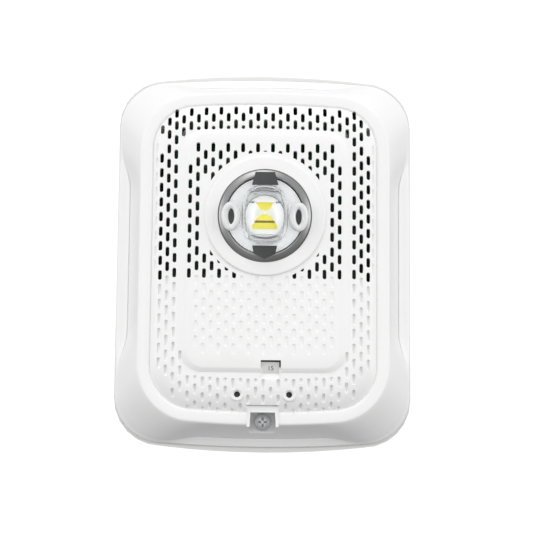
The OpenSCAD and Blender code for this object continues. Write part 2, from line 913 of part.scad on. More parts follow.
module driver_chips() {
    color(black)
        for (x = [-20.5, -13, 9.5])
            slab(board_top, board_top + 1.5)
                plate_at(x, -34, 5, 4);
}

module rectifier_diodes() {
    color(black)
        for (i = [0:3])
            slab(board_top, board_top + 1.2)
                plate_at(-18 + 5 * i, -52.5, 3, 4.4);
}

// rails beside the slider's slot, with its contacts inside
module candela_switch() {
    color(grey)
        difference() {
            slab(board_top, board_top + 3)
                plate_at(stem_x + slider_travel / 2, -window_drop, stem_w + slider_travel + 3, stem_t + 3.6);
            slab(0, board_top + 5)
                plate_at(stem_x + slider_travel / 2, -window_drop, stem_w + slider_travel + 2 * slot_end, stem_t + 2 * gap);
        }
}

module tone_switch() {
    color(grey)
        difference() {
            slab(board_top, board_top + tone_body_t)
                plate_at(tone_x, tone_z, tone_body, tone_body - 1);
            post(tone_r + run_gap, 0, board_top + tone_body_t - 1, tone_x, tone_z);
        }
}

// ---------- the sounder ----------

module sounder_case() {
    color(black)
        difference() {
            turned([
                [0, board_top], [sounder_r, board_top], [sounder_r, board_top + sounder_t],
                [piezo_r + 0.6, board_top + sounder_t], [piezo_r + 0.6, piezo_h],
                [piezo_r - 1.4, piezo_h], [piezo_r - 1.4, board_top + 0.8], [0, board_top + 0.8]
            ], 0, lens_z);
            for (s = [-1, 1])
                post(1.2, 0, board_top + 2, s * 9, lens_z);
            post(2, 0, board_top + 2, 0, lens_z);
        }
}

// cap with a ring of vents, clear of the disc, and three pads that carry the heat sink
module sounder_cap() {
    color(grey)
        difference() {
            union() {
                post(piezo_r + 0.5, board_top + sounder_t - cap_t, board_top + sounder_t, 0, lens_z);
                for (a = [30, 150, 270])
                    post(1.6, board_top + sounder_t - cap_t, sink_h, 10 * cos(a), lens_z + 10 * sin(a));
            }
            for (i = [0:11])
                post(1.8, 0, board_top + sounder_t + 1, 17 * cos(30 * i + 15), lens_z + 17 * sin(30 * i + 15));
            for (s = [-1, 1])
                post(1.2, 0, board_top + sounder_t + 1, s * 9, lens_z);
        }
}

module piezo_disc() {
    color(copper)
        difference() {
            post(piezo_r, piezo_h, piezo_h + piezo_t, 0, lens_z);
            for (s = [-1, 1])
                post(1.2, 0, board_top + 5, s * 9, lens_z);
        }
}

module piezo_ceramic() {
    color(white)
        difference() {
            post(ceramic_r, piezo_h + piezo_t, piezo_h + piezo_t + ceramic_t, 0, lens_z);
            for (s = [-1, 1])
                post(1.2, 0, board_top + 5, s * 9, lens_z);
        }
}

// the sounder's two terminal pins, above its case
module sounder_pins() {
    color(copper)
        for (s = [-1, 1])
            post(0.6, board_h - 0.8, board_top + 2.5, s * 4, lens_z + sounder_r + 3);
}

// ---------- pieces that move ----------

// printed strip behind the window, with a stem that comes out of the back
module candela_slider() {
    color(white)
        union() {
            slab(strip_h - strip_t, strip_h)
                plate_at(strip_right - strip_l / 2, -window_drop, strip_l, strip_w);
            slab(chassis_h - 0.6, strip_h - strip_t + eps)
                plate_at(stem_x, -window_drop, stem_w, stem_t);
        }
}

// turned with a screwdriver from the back
module tone_rotor() {
    color(white)
        difference() {
            post(tone_r, chassis_h - 0.4, board_top + tone_body_t - 1.2, tone_x, tone_z);
            slab(0, chassis_h + 0.8)
                plate_at(tone_x, tone_z, 1, 4.6);
        }
}

// clip that keeps the screw in the cover when it is backed out
module screw_retainer() {
    color(steel)
        difference() {
            post(retainer_r, seat_h - retainer_t - 0.2, seat_h - 0.2, 0, -screw_drop);
            post(screw_r + run_gap, 0, recess_floor, 0, -screw_drop);
        }
}

module captive_screw() {
    color(steel)
        difference() {
            union() {
                turned([
                    [0, head_h], [head_r, head_h], [head_r, head_h + 0.9],
                    [head_r - 0.5, head_h + 1.7], [head_r - 1.4, head_h + head_t], [0, head_h + head_t]
                ], 0, -screw_drop);
                post(screw_r, screw_tip, head_h + 0.5, 0, -screw_drop);
            }
            for (a = [0, 90])
                translate([0, -head_h - 0.7, -screw_drop])
                    rotate([0, a, 0])
                        translate([-2, -head_t, -0.35])
                            cube([4, head_t, 0.7]);
        }
}

mounting_plate();
screw_insert();
terminal_block();
terminal_clamps();
terminal_screws();
contact_springs();
shorting_spring();
front_cover();
rear_chassis();
chassis_screws();
lens();
lens_ring();
lens_gasket();
upper_lens_clip();
lower_lens_clip();
reflector();
led_emitter();
led_board();
heat_sink();
led_posts();
main_board();
board_screws();
contact_carrier();
contact_blades();
storage_capacitors();
inductor();
controller_chip();
driver_chips();
rectifier_diodes();
candela_switch();
tone_switch();
sounder_case();
sounder_cap();
piezo_disc();
piezo_ceramic();
sounder_pins();
candela_slider();
tone_rotor();
screw_retainer();
captive_screw();
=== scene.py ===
# %% [markdown]
# # A wall horn strobe
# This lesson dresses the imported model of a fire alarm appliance: a white moulded cover full of
# sound slots, with a clear lens over an LED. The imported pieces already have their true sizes, so
# Blender adds what the eye reads: smooth skins, plastic grain, turned metal and clear resin.
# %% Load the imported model
import json
import math

import bmesh
import bpy
from mathutils import Matrix, Vector


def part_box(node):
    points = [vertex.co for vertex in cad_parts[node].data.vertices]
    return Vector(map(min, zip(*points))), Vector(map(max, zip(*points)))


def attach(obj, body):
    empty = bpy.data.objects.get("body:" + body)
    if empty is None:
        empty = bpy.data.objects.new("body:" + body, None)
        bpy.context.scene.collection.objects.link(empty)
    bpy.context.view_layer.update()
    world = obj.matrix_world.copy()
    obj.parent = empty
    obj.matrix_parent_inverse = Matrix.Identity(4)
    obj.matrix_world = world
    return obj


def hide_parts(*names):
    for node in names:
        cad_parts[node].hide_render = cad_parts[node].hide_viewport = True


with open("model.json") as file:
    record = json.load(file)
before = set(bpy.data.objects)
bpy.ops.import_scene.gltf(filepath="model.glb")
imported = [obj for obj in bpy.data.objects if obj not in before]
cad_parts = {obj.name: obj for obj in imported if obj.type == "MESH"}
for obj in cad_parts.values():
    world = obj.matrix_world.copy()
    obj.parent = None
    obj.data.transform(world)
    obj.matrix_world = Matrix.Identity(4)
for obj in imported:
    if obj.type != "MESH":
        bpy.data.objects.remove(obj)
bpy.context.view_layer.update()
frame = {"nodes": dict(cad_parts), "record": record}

MM = 0.001

# %% [markdown]
# ## Camera
# The appliance hangs above eye level, so the camera looks up at it a little. It could be aimed with
# a constraint, but a matrix made of right, up and forward directions states the view exactly.
# %% Camera
camera_place = Vector((-6.78, -569.69, -71.0)) * MM
turn, tilt, roll = math.radians(0.799), math.radians(6.934), 0.0098
forward = Vector((math.sin(turn) * math.cos(tilt), math.cos(turn) * math.cos(tilt), math.sin(tilt)))
level = Vector((math.cos(turn), -math.sin(turn), 0))
upward = level.cross(forward)
camera_right = level * math.cos(roll) + upward * math.sin(roll)
camera_up = upward * math.cos(roll) - level * math.sin(roll)
camera = bpy.data.objects.new("camera", bpy.data.cameras.new("camera"))
camera.data.lens = 95.0
camera.data.clip_start = 0.01
camera.matrix_world = Matrix((camera_right, camera_up, -forward)).transposed().to_4x4()
camera.matrix_world.translation = camera_place
bpy.context.scene.collection.objects.link(camera)
bpy.context.scene.camera = camera
print("camera looks up by", round(math.degrees(tilt), 1), "degrees")

# %% [markdown]
# ## Shader groups
# Moulded plastic is never one flat colour: the tool leaves a fine grain, and thick and thin walls
# cool to slightly different tones. One group makes both, so each plastic only sets its amounts.
# %% Grain group
def new_group(name, inputs, outputs):
    """An empty shader group with the named sockets, and its input and output nodes."""
    group = bpy.data.node_groups.new(name, "ShaderNodeTree")
    for label, kind, value in inputs:
        socket = group.interface.new_socket(label, in_out="INPUT", socket_type=kind)
        socket.default_value = value
    for label, kind in outputs:
        group.interface.new_socket(label, in_out="OUTPUT", socket_type=kind)
    return group, group.nodes.new("NodeGroupInput"), group.nodes.new("NodeGroupOutput")


def add(tree, kind, **settings):
    """Adds a node and sets its properties, or its sockets where the name is a socket's."""
    node = tree.nodes.new(kind)
    for key, value in settings.items():
        if key in node.inputs:
            node.inputs[key].default_value = value
        else:
            setattr(node, key, value)
    return node


COLOUR, NUMBER = "NodeSocketColor", "NodeSocketFloat"
grain, grain_in, grain_out = new_group(
    "moulded_grain",
    [("Colour", COLOUR, (0.8, 0.8, 0.8, 1)), ("Shade", NUMBER, 0.03), ("Grain size", NUMBER, 2500.0),
     ("Roughness", NUMBER, 0.4), ("Roughness spread", NUMBER, 0.08)],
    [("Colour", COLOUR), ("Roughness", NUMBER), ("Height", NUMBER)])
place = add(grain, "ShaderNodeTexCoord")
fine = add(grain, "ShaderNodeTexNoise", Detail=3.0)
broad = add(grain, "ShaderNodeTexNoise", Scale=35.0, Detail=2.0)
grain.links.new(place.outputs["Object"], fine.inputs["Vector"])
grain.links.new(place.outputs["Object"], broad.inputs["Vector"])
grain.links.new(grain_in.outputs["Grain size"], fine.inputs["Scale"])
swing = add(grain, "ShaderNodeMapRange", **{"From Min": 0.3, "From Max": 0.7, "To Max": 1.0})
grain.links.new(broad.outputs["Fac"], swing.inputs["Value"])
darker = add(grain, "ShaderNodeMath", operation="MULTIPLY")
grain.links.new(swing.outputs["Result"], darker.inputs[0])
grain.links.new(grain_in.outputs["Shade"], darker.inputs[1])
tone = add(grain, "ShaderNodeHueSaturation")
value = add(grain, "ShaderNodeMath", operation="SUBTRACT")
value.inputs[0].default_value = 1.0
grain.links.new(darker.outputs[0], value.inputs[1])
grain.links.new(value.outputs[0], tone.inputs["Value"])
grain.links.new(grain_in.outputs["Colour"], tone.inputs["Color"])
centred = add(grain, "ShaderNodeMath", operation="SUBTRACT")
grain.links.new(fine.outputs["Fac"], centred.inputs[0])
centred.inputs[1].default_value = 0.5
rough = add(grain, "ShaderNodeMath", operation="MULTIPLY_ADD")
grain.links.new(centred.outputs[0], rough.inputs[0])
grain.links.new(grain_in.outputs["Roughness spread"], rough.inputs[1])
grain.links.new(grain_in.outputs["Roughness"], rough.inputs[2])
grain.links.new(tone.outputs["Color"], grain_out.inputs["Colour"])
grain.links.new(rough.outputs[0], grain_out.inputs["Roughness"])
grain.links.new(fine.outputs["Fac"], grain_out.inputs["Height"])
print("grain group has", len(grain.nodes), "nodes")


# %% [markdown]
# ## Materials
# Every finish is a Principled shader fed by the grain group. Each one sets how strong the bump is
# and how large the grain is. The clear lens gets no bump, so that what is behind it stays sharp.
# %% Material maker
def grained(name, colour, roughness, shade, grain_size, spread):
    """A new material whose base colour and roughness come from the grain group."""
    material = bpy.data.materials.new(name)
    material.use_nodes = True
    tree = material.node_tree
    shader = tree.nodes["Principled BSDF"]
    group = tree.nodes.new("ShaderNodeGroup")
    group.node_tree = grain
    group.inputs["Colour"].default_value = (*colour, 1)
    group.inputs["Shade"].default_value = shade
    group.inputs["Grain size"].default_value = grain_size
    group.inputs["Roughness"].default_value = roughness
    group.inputs["Roughness spread"].default_value = spread
    tree.links.new(group.outputs["Colour"], shader.inputs["Base Color"])
    tree.links.new(group.outputs["Roughness"], shader.inputs["Roughness"])
    return material, shader, group


def finish(name, colour, roughness, shade=0.03, grain_size=2500.0, bump=0.05, spread=0.08, **sockets):
    """A material with grain in its colour and roughness, and a bump from the same grain."""
    material, shader, group = grained(name, colour, roughness, shade, grain_size, spread)
    tree = material.node_tree
    relief = add(tree, "ShaderNodeBump", Strength=bump, Distance=0.0001)
    tree.links.new(group.outputs["Height"], relief.inputs["Height"])
    tree.links.new(relief.outputs["Normal"], shader.inputs["Normal"])
    for label, amount in sockets.items():
        shader.inputs[label.replace("_", " ")].default_value = amount
    return material


# %% Finishes
finishes = {
    "cover_white": finish("cover_white", (0.87, 0.872, 0.868), 0.42, 0.015, 2600, 0.10, 0.1,
                          Specular_IOR_Level=0.45),
    "plate_white": finish("plate_white", (0.76, 0.76, 0.75), 0.45, 0.02, 2200, 0.12),
    "black_plastic": finish("black_plastic", (0.022, 0.022, 0.024), 0.5, 0.15, 2400, 0.15),
    "grey_plastic": finish("grey_plastic", (0.06, 0.062, 0.064), 0.36, 0.6, 1100, 0.5),
    # The ring's metal colour is far darker than bare metal: a painted dark reflection, standing for the
    # surroundings a polished ring reflects.
    "bright_ring": finish("bright_ring", (0.37, 0.375, 0.37), 0.34, 0.45, 1500, 0.05, 0.1, Metallic=1.0),
    "gasket_rubber": finish("gasket_rubber", (0.012, 0.012, 0.012), 0.65, 0.2, 3000, 0.2),
    # The reflector's weak emission is painted light that keeps it bright behind the lens.
    "reflector_white": finish("reflector_white", (0.88, 0.89, 0.9), 0.2, 0.02, 1500, 0.02,
                              Emission_Color=(0.96, 0.98, 1, 1), Emission_Strength=0.36),
    # The phosphor's weak emission is painted light that brightens it behind the lens.
    "led_phosphor": finish("led_phosphor", (0.93, 0.84, 0.07), 0.35, 0.1, 3500, 0.1, Coat_Weight=0.6,
                           Emission_Color=(1, 0.86, 0.06, 1), Emission_Strength=0.22),
    # The board's weak emission is painted light that brightens it behind the lens.
    "led_board_white": finish("led_board_white", (0.8, 0.83, 0.84), 0.3, 0.03, 2000, 0.04,
                              Emission_Color=(0.93, 0.98, 1, 1), Emission_Strength=0.25),
    "aluminium_sink": finish("aluminium_sink", (0.72, 0.73, 0.74), 0.35, 0.08, 1800, 0.06, Metallic=1.0),
    "board_green": finish("board_green", (0.007, 0.06, 0.024), 0.28, 0.15, 900, 0.04, Coat_Weight=0.4),
    "contact_brass": finish("contact_brass", (0.78, 0.58, 0.26), 0.28, 0.1, 1500, 0.05, Metallic=1.0),
    "spring_steel": finish("spring_steel", (0.58, 0.59, 0.6), 0.3, 0.1, 1500, 0.06, Metallic=1.0),
    "zinc_screw": finish("zinc_screw", (0.66, 0.67, 0.68), 0.42, 0.1, 1500, 0.05, Metallic=0.75),
    "capacitor_sleeve": finish("capacitor_sleeve", (0.02, 0.03, 0.11), 0.25, 0.1, 1200, 0.03),
    "ferrite": finish("ferrite", (0.06, 0.06, 0.065), 0.6, 0.2, 1800, 0.2),
    "chip_epoxy": finish("chip_epoxy", (0.018, 0.018, 0.02), 0.5, 0.2, 2600, 0.15),
    "piezo_white": finish("piezo_white", (0.8, 0.78, 0.7), 0.35, 0.06, 1600, 0.05),
    # The slider's weak emission is painted light that brightens its strip in the shaded window.
    "slider_white": finish("slider_white", (0.88, 0.88, 0.87), 0.5, 0.03, 2200, 0.08,
                           Emission_Color=(1, 1, 0.98, 1), Emission_Strength=0.16),
}
print("opaque finishes:", len(finishes))


# %% [markdown]
# ## Clear resin
# The lens is polycarbonate. A solid glass shader would bend everything under it, so the visual lens
# is a thin wall, as the real dome is. The shader stays fully transmissive with a faint cool tint, and
# bends light less than the real resin does.
# %% Clear lens material
def clear_resin(name, colour, roughness):
    """A transmissive plastic with a very slight mottling of its colour and roughness."""
    material, shader, _ = grained(name, colour, roughness, 0.01, 300, 0.02)
    shader.inputs["Transmission Weight"].default_value = 1.0
    shader.inputs["IOR"].default_value = 1.22
    return material


finishes["clear_lens"] = clear_resin("clear_lens", (0.985, 0.993, 0.995), 0.03)
# The thick resin of the ears and bands glows faintly: painted light that makes them read bright in the dome.
thick_resin = finish("thick_resin", (0.95, 0.96, 0.96), 0.12, 0.02, 600, 0.01, 0.03,
                     Transmission_Weight=0.35, IOR=1.4, Coat_Weight=0.5,
                     Emission_Color=(0.95, 0.97, 1, 1), Emission_Strength=0.02)
ink = finish("printed_ink", (0.10, 0.10, 0.11), 0.5, 0.1, 3000, 0.05)
print("clear and printed finishes are ready")

# %% [markdown]
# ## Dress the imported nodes
# The record says which finish each node has. A node's own slots take that material, so nothing is
# moved and the part list and the looks can't disagree.
# %% Give each node its finish
slot_of = {row["node"]: row["material_slot"] for row in frame["record"]["subparts"]}
for node, piece in frame["nodes"].items():
    piece.data.materials.clear()
    piece.data.materials.append(finishes[slot_of[node]])
print("dressed", len(slot_of), "nodes")

# %% [markdown]
# ## The cover's outline
# Every line of the cover is a rounded rectangle whose top and bottom bow out a little. It could be
# drawn by hand, but one formula gives them all the same number of points, so any two can be joined.
# %% Outlines
SIDE, ARC, TOP = 14, 14, 12
cover_low, cover_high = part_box("front_cover")
cover_w = (cover_high.x - cover_low.x) / MM
cover_h = (cover_high.z - cover_low.z) / MM
foot_h, rim_h, shoulder_h, panel_h, wall = 2.5, 19.0, 22.0, 23.0, 2.0
top_edge_h = 3.4
rim_w = 4.7


def mix(a, b, share):
    return a + (b - a) * share


def ease(a, b, v):
    """Smooth step from 0 to 1 as v goes from a to b."""
    share = max(0.0, min(1.0, (v - a) / (b - a)))
    return share * share * (3 - 2 * share)


def outline(w, l, r, bow, z=0.0):
    """Rounded rectangle with bowed top and bottom, as (x, z) points in mm."""
    flat = w / 2 - r
    side = [(w / 2, (l / 2 - bow - r) * i / SIDE) for i in range(SIDE)]
    corner = [(flat + r * math.cos(a), l / 2 - bow - r + r * math.sin(a))
              for a in (math.pi / 2 * i / ARC for i in range(ARC))]
    top = [(flat * (1 - i / TOP), l / 2 - bow * (1 - i / TOP) ** 2) for i in range(TOP + 1)]
    right = side + corner + top
    n = len(right) - 1
    whole = (right[:n] + [(-right[n - i][0], right[n - i][1]) for i in range(n)]
             + [(-right[i][0], -right[i][1]) for i in range(n)]
             + [(right[n - i][0], -right[n - i][1]) for i in range(n)])
    return [(x, zz + z) for x, zz in whole]


def between(a, b, share):
    return [(mix(p[0], q[0], share), mix(p[1], q[1], share)) for p, q in zip(a, b)]


rim_out_w, rim_out_h = cover_w - 19.6, cover_h - 17.2
edge_line = outline(cover_w, cover_h, 19, 1.4)
rim_out_line = outline(rim_out_w, rim_out_h, 22, 1)
rim_in_line = outline(rim_out_w - 2 * rim_w, rim_out_h - 2 * rim_w, 22 - rim_w, 1)
step_line = outline(rim_out_w - 2 * rim_w - 0.6, rim_out_h - 2 * rim_w - 0.6, 22 - rim_w, 1)
bevel_line = outline(66.8, 96, 10, 0, 2)
panel_line = outline(60, 92, 7.5, 0, 2)
print("outline points:", len(edge_line), "cover", round(cover_w, 1), "by", round(cover_h, 1), "mm")

# %% [markdown]
# ## The cover's skin
# From the rim the skin falls to the wall. At the corners it is a plain slope, but the middle of each
# side is hollowed out, which leaves a thin ledge at the foot. The rows say how far in the skin is at
# each height, and a smooth curve through them gives the rings between.
# %% Skin rings
# Each row: share of the height, how far in at a corner, how far in at a hollow, groove depth in mm.
skirt_rows = [(0, 0, 0, 0), (0.07, 0.02, 0.03, 0), (0.115, 0.07, 0.3, 0), (0.145, 0.11, 0.455, 0),
              (0.15, 0.115, 0.475, 0.5), (0.16, 0.125, 0.495, 0.5), (0.175, 0.14, 0.51, 0),
              (0.28, 0.24, 0.62, 0), (0.45, 0.42, 0.73, 0), (0.65, 0.62, 0.84, 0),
              (0.85, 0.84, 0.93, 0), (0.955, 0.965, 0.985, 0)]


def smooth_rows(rows, parts):
    """Points of a curve through the rows, with the given number of parts in each gap."""
    out = []
    for i in range(len(rows) - 1):
        before, a, b, after = rows[max(i - 1, 0)], rows[i], rows[i + 1], rows[min(i + 2, len(rows) - 1)]
        for k in range(parts):
            t = k / parts
            out.append(tuple(
                0.5 * (2 * q + (r - p) * t + (2 * p - 5 * q + 4 * r - s) * t * t
                       + (3 * q - p - 3 * r + s) * t ** 3)
                for p, q, r, s in zip(before, a, b, after)))
    return out + [rows[-1]]


def hollowed(x, z):
    """How much a point of the edge belongs to the hollowed middle of its side."""
    side = 1 - ease(cover_h / 2 - 42, cover_h / 2 - 28, abs(z))
    end = 0.75 * (1 - ease(cover_w / 2 - 30, cover_w / 2 - 19, abs(x)))
    return max(side, end)


def crown(share):
    """Height of the rounded panel, from inside the rim (0) to the centre panel (1)."""
    return mix(rim_h - 0.7, shoulder_h, 1 - (1 - share) ** 3.0)


def skirt_ring(row):
    share, at_corner, at_hollow, groove = row
    line = []
    for edge, rim in zip(edge_line, rim_out_line):
        amount = hollowed(*edge)
        inward = mix(at_corner, at_hollow, amount)
        height = mix(foot_h, rim_h, share) - groove * amount
        line.append((mix(edge[0], rim[0], inward), height, mix(edge[1], rim[1], inward)))
    return line


def level_ring(line, h):
    return [(x, h, z) for x, z in line]


rim_profile = [(0, -0.42), (0.05, -0.2), (0.12, -0.06), (0.2, 0), (0.86, 0), (0.93, -0.04), (0.98, -0.14),
               (1, -0.25)]
outer_rings = [skirt_ring(row) for row in smooth_rows(skirt_rows, 3)]
outer_rings += [level_ring(between(rim_out_line, rim_in_line, share), rim_h + drop)
                for share, drop in rim_profile]
outer_rings += [level_ring(between(step_line, bevel_line, t), crown(t)) for t in (i / 14 for i in range(15))]
outer_rings += [level_ring(between(bevel_line, panel_line, t), mix(shoulder_h, panel_h, ease(-0.25, 1.1, t)))
                for t in (0.15, 0.35, 0.55, 0.75, 0.9)]
outer_rings += [level_ring(panel_line, panel_h)]
print("rings in the outer skin:", len(outer_rings))

# %% Inner skin
inner_foot = outline(rim_out_w + 3.8, rim_out_h + 3.8, 22, 1)
inner_rings = [
    level_ring(inner_foot, foot_h),
    level_ring(inner_foot, mix(foot_h, rim_h, 0.28)),
    level_ring(outline(rim_out_w - 0.4, rim_out_h - 0.4, 21, 1), mix(foot_h, rim_h, 0.62)),
    level_ring(outline(rim_out_w - 3.8, rim_out_h - 3.8, 20, 1), rim_h - wall - 0.5),
]
inner_rings += [level_ring(between(step_line, bevel_line, t), crown(t) - wall) for t in (0.15, 0.4, 0.7)]
inner_rings += [level_ring(outline(65.4, 94.6, 10, 0, 2), shoulder_h - wall),
                level_ring(outline(59, 91, 7.5, 0, 2), panel_h - wall)]


def spot(x, h, z):
    """A point at height h above the wall, from millimetres to metres."""
    return Vector((x * MM, -h * MM, z * MM))


def new_piece(name, mesh, material):
    piece = bpy.data.objects.new(name, mesh)
    mesh.materials.append(material)
    bpy.context.scene.collection.objects.link(piece)
    return piece


def mesh_from_rings(name, rings, wrap=False):
    """A closed mesh through rings of equal length; wrap joins the last ring to the first."""
    shape = bmesh.new()
    rows = [[shape.verts.new(p) for p in ring] for ring in rings]
    pairs = list(zip(rows, rows[1:])) + ([(rows[-1], rows[0])] if wrap else [])
    for a, b in pairs:
        for i in range(len(a)):
            j = (i + 1) % len(a)
            shape.faces.new((a[i], a[j], b[j], b[i]))
    if not wrap:
        shape.faces.new(list(reversed(rows[0])))
        shape.faces.new(rows[-1])
    bmesh.ops.recalc_face_normals(shape, faces=shape.faces)
    mesh = bpy.data.meshes.new(name)
    shape.to_mesh(mesh)
    shape.free()
    return mesh


stack = list(reversed(outer_rings)) + inner_rings
cover_mesh = mesh_from_rings("cover_skin", [[spot(*point) for point in ring] for ring in stack])
cover = new_piece("cover_skin", cover_mesh, finishes["cover_white"])
print("cover skin faces:", len(cover_mesh.polygons))

# %% [markdown]
# ## Slots and dimples
# The grille is one staggered grid. Where the sounder is, the slots go right through; further down
# the same grid carries on as shallow dimples. Geometry Nodes copy one cutter to every place, which
# keeps the sizes as inputs that can be tried by hand.
# %% Where the openings are
pitch, slot_w, slot_l = 2.95, 1.52, 3.85
slot_top, arch_top, side_top = 42.8, 58.6, 43.2
lens_z, boss_r, land_r = 15.6, 23.7, 25.6
lens_x = 0.2

inner_slots = [(c * pitch, slot_top - r * pitch) for r in range(18) for c in range(-10, 11)
               if (abs(c) + r) % 2 == 1 and (abs(c) < 10 or r > 2)]
inner_slots = [(x, z) for x, z in inner_slots
               if math.hypot(x - lens_x, abs(z - lens_z) + slot_l / 2) > land_r + 0.35
               and (abs(abs(x) - 8 * pitch) > 1 or abs(z - lens_z) > 13)]
arch_slots = [(c * pitch, arch_top - r * pitch - 1.5 * (c * pitch / 35) ** 2)
              for r in range(3) for c in range(-11, 12) if (abs(c) + r) % 2 == 0]
corner_slots = ((12 * pitch, 57.0), (13 * pitch - 0.2, 53.6), (11 * pitch, 49.1))
arch_slots += [(s * x, z) for s in (-1, 1) for x, z in corner_slots]
arch_dots = [(c * pitch, 51.4 - 1.3 * (c * pitch / 35) ** 2) for c in range(-9, 10) if c % 2]


def side_place(side, c, r):
    """Place in the side columns, whose rows slant down and outwards, most of all at the top."""
    slant = 1 - ((r + 3) / 34) ** 2
    return side * (c * pitch - 0.12 * (c - 11)), side_top - r * pitch - 0.7 * (c - 11.6) * slant


side_slots = [side_place(s, c, r) for s in (-1, 1) for c in (12, 13, 14) for r in range(-4, 18)
              if (c + r) % 2 == 1 and (c, r) != (14, -1)]
side_slots = [p for p in side_slots if p[1] < arch_top - 2.4 - 0.95 * max(0, abs(p[0]) - 35)]
print("slots:", len(inner_slots) + len(arch_slots) + len(side_slots), "and", len(arch_dots), "short ones")


# %% Where the dimples are
window_x, window_z, screw_z = 2.9, -44.2, -65.0
guard_holes = [(-10.1, -54.4), (10.2, -54.4)]


def kept_clear(x, z):
    """Whether a dimple here would run into a guarded hole, the window or the screw's frame."""
    near_guard = any(math.hypot(x - gx, z - gz) < 3.4 for gx, gz in guard_holes)
    near_window = abs(x - window_x) < 4.6 and abs(z - window_z - 0.4) < 5.6
    near_screw = abs(x) < 7.6 and z < screw_z + 6.6
    return near_guard or near_window or near_screw


def sagged(c, r):
    """Place on a row that sags towards the middle, as the bottom edge does."""
    return c * pitch, slot_top - r * pitch - 1.9 * (1 - (abs(c) / 12) ** 2.5)


crown_dimples = [side_place(s, c, r) for s in (-1, 1) for c in (12, 13, 14) for r in range(18, 34)
                 if (c + r) % 2 == 1 and r <= 33 - 2 * (c - 12)]
crown_dimples += [(s * 11 * pitch, slot_top - r * pitch) for s in (-1, 1) for r in (28, 30, 32)]
crown_dimples += [sagged(c, r) for r in (31, 32, 33, 34) for c in range(-10, 11) if (abs(c) + r) % 2 == 1]
panel_dimples = [(c * pitch, slot_top - r * pitch) for r in range(18, 28) for c in range(-9, 10)
                 if (abs(c) + r) % 2 == 1]
panel_dimples += [(s * 42.9, slot_top - r * pitch) for s in (-1, 1) for r in range(0, 18, 2)]
short_dimples = [(x, z + 1.3) for x, z in (sagged(c, 31) for c in range(-9, 10) if c % 2)]
short_dimples += [(x, z - 4.2) for x, z in (sagged(c, 33) for c in range(-10, 11, 2))]
crown_dimples, panel_dimples, short_dimples = (
    [p for p in places if not kept_clear(*p)] for places in (crown_dimples, panel_dimples, short_dimples))
print("dimples:", len(crown_dimples), "on the crown,", len(panel_dimples), "faint ones,",
      len(short_dimples), "short")


# %% [markdown]
# ## Cutter trees
# A slot cutter is a rounded rectangle pulled into a bar. A dimple cutter is a stretched ball, which a
# ray drops onto the cover so that dimples of a kind are equally deep. Both could be modifiers left on
# the cover, but the result is taken as a plain mesh, ready to be cut with.
# %% Geometry Nodes helpers
def geometry_tree(name, sizes):
    """A Geometry Nodes tree with named number inputs, and its end nodes."""
    tree = bpy.data.node_groups.new(name, "GeometryNodeTree")
    tree.interface.new_socket("Geometry", in_out="INPUT", socket_type="NodeSocketGeometry")
    for label, value in sizes.items():
        kind = "NodeSocketMaterial" if label == "Material" else "NodeSocketFloat"
        kind = "NodeSocketObject" if label == "Surface" else kind
        socket = tree.interface.new_socket(label, in_out="INPUT", socket_type=kind)
        if kind == "NodeSocketFloat":
            socket.default_value = value
    tree.interface.new_socket("Geometry", in_out="OUTPUT", socket_type="NodeSocketGeometry")
    return tree, tree.nodes.new("NodeGroupInput"), tree.nodes.new("NodeGroupOutput")


def run_tree(piece, tree, values):
    """Sets the tree's inputs by identifier, evaluates it and returns a plain mesh."""
    modifier = piece.modifiers.new(tree.name, "NODES")
    modifier.node_group = tree
    for item in tree.interface.items_tree:
        if item.in_out == "INPUT" and item.name in values:
            modifier[item.identifier] = values[item.name]
    graph = bpy.context.evaluated_depsgraph_get()
    mesh = bpy.data.meshes.new_from_object(piece.evaluated_get(graph))
    piece.modifiers.remove(modifier)
    return mesh


def points_piece(name, places, h):
    mesh = bpy.data.meshes.new(name)
    mesh.from_pydata([spot(x, h, z) for x, z in places], [], [])
    piece = bpy.data.objects.new(name, mesh)
    bpy.context.scene.collection.objects.link(piece)
    return piece


def copies_out(tree, tree_in, tree_out, points, instance):
    """Copies the instance to the points as real, painted geometry, and returns the copying node."""
    copies = add(tree, "GeometryNodeInstanceOnPoints")
    real = add(tree, "GeometryNodeRealizeInstances")
    painted = add(tree, "GeometryNodeSetMaterial")
    tree.links.new(points, copies.inputs["Points"])
    tree.links.new(instance, copies.inputs["Instance"])
    tree.links.new(copies.outputs["Instances"], real.inputs["Geometry"])
    tree.links.new(real.outputs["Geometry"], painted.inputs["Geometry"])
    tree.links.new(tree_in.outputs["Material"], painted.inputs["Material"])
    tree.links.new(painted.outputs["Geometry"], tree_out.inputs["Geometry"])
    return copies


# %% Slot cutter tree
slot_tree, slot_in, slot_out = geometry_tree(
    "slot_cutters", {"Width": slot_w * MM, "Length": slot_l * MM, "Depth": 8 * MM, "Material": None})
link = slot_tree.links.new
shape = add(slot_tree, "GeometryNodeCurvePrimitiveQuadrilateral")
link(slot_in.outputs["Width"], shape.inputs["Width"])
link(slot_in.outputs["Length"], shape.inputs["Height"])
half = add(slot_tree, "ShaderNodeMath", operation="MULTIPLY")
half.inputs[1].default_value = 0.495
link(slot_in.outputs["Width"], half.inputs[0])
rounded = add(slot_tree, "GeometryNodeFilletCurve", mode="POLY")
rounded.inputs["Count"].default_value = 4
link(shape.outputs["Curve"], rounded.inputs["Curve"])
link(half.outputs[0], rounded.inputs["Radius"])
filled = add(slot_tree, "GeometryNodeFillCurve", mode="NGONS")
link(rounded.outputs["Curve"], filled.inputs["Curve"])
raised = add(slot_tree, "GeometryNodeExtrudeMesh")
link(filled.outputs["Mesh"], raised.inputs["Mesh"])
link(slot_in.outputs["Depth"], raised.inputs["Offset Scale"])
under = add(slot_tree, "GeometryNodeFlipFaces")
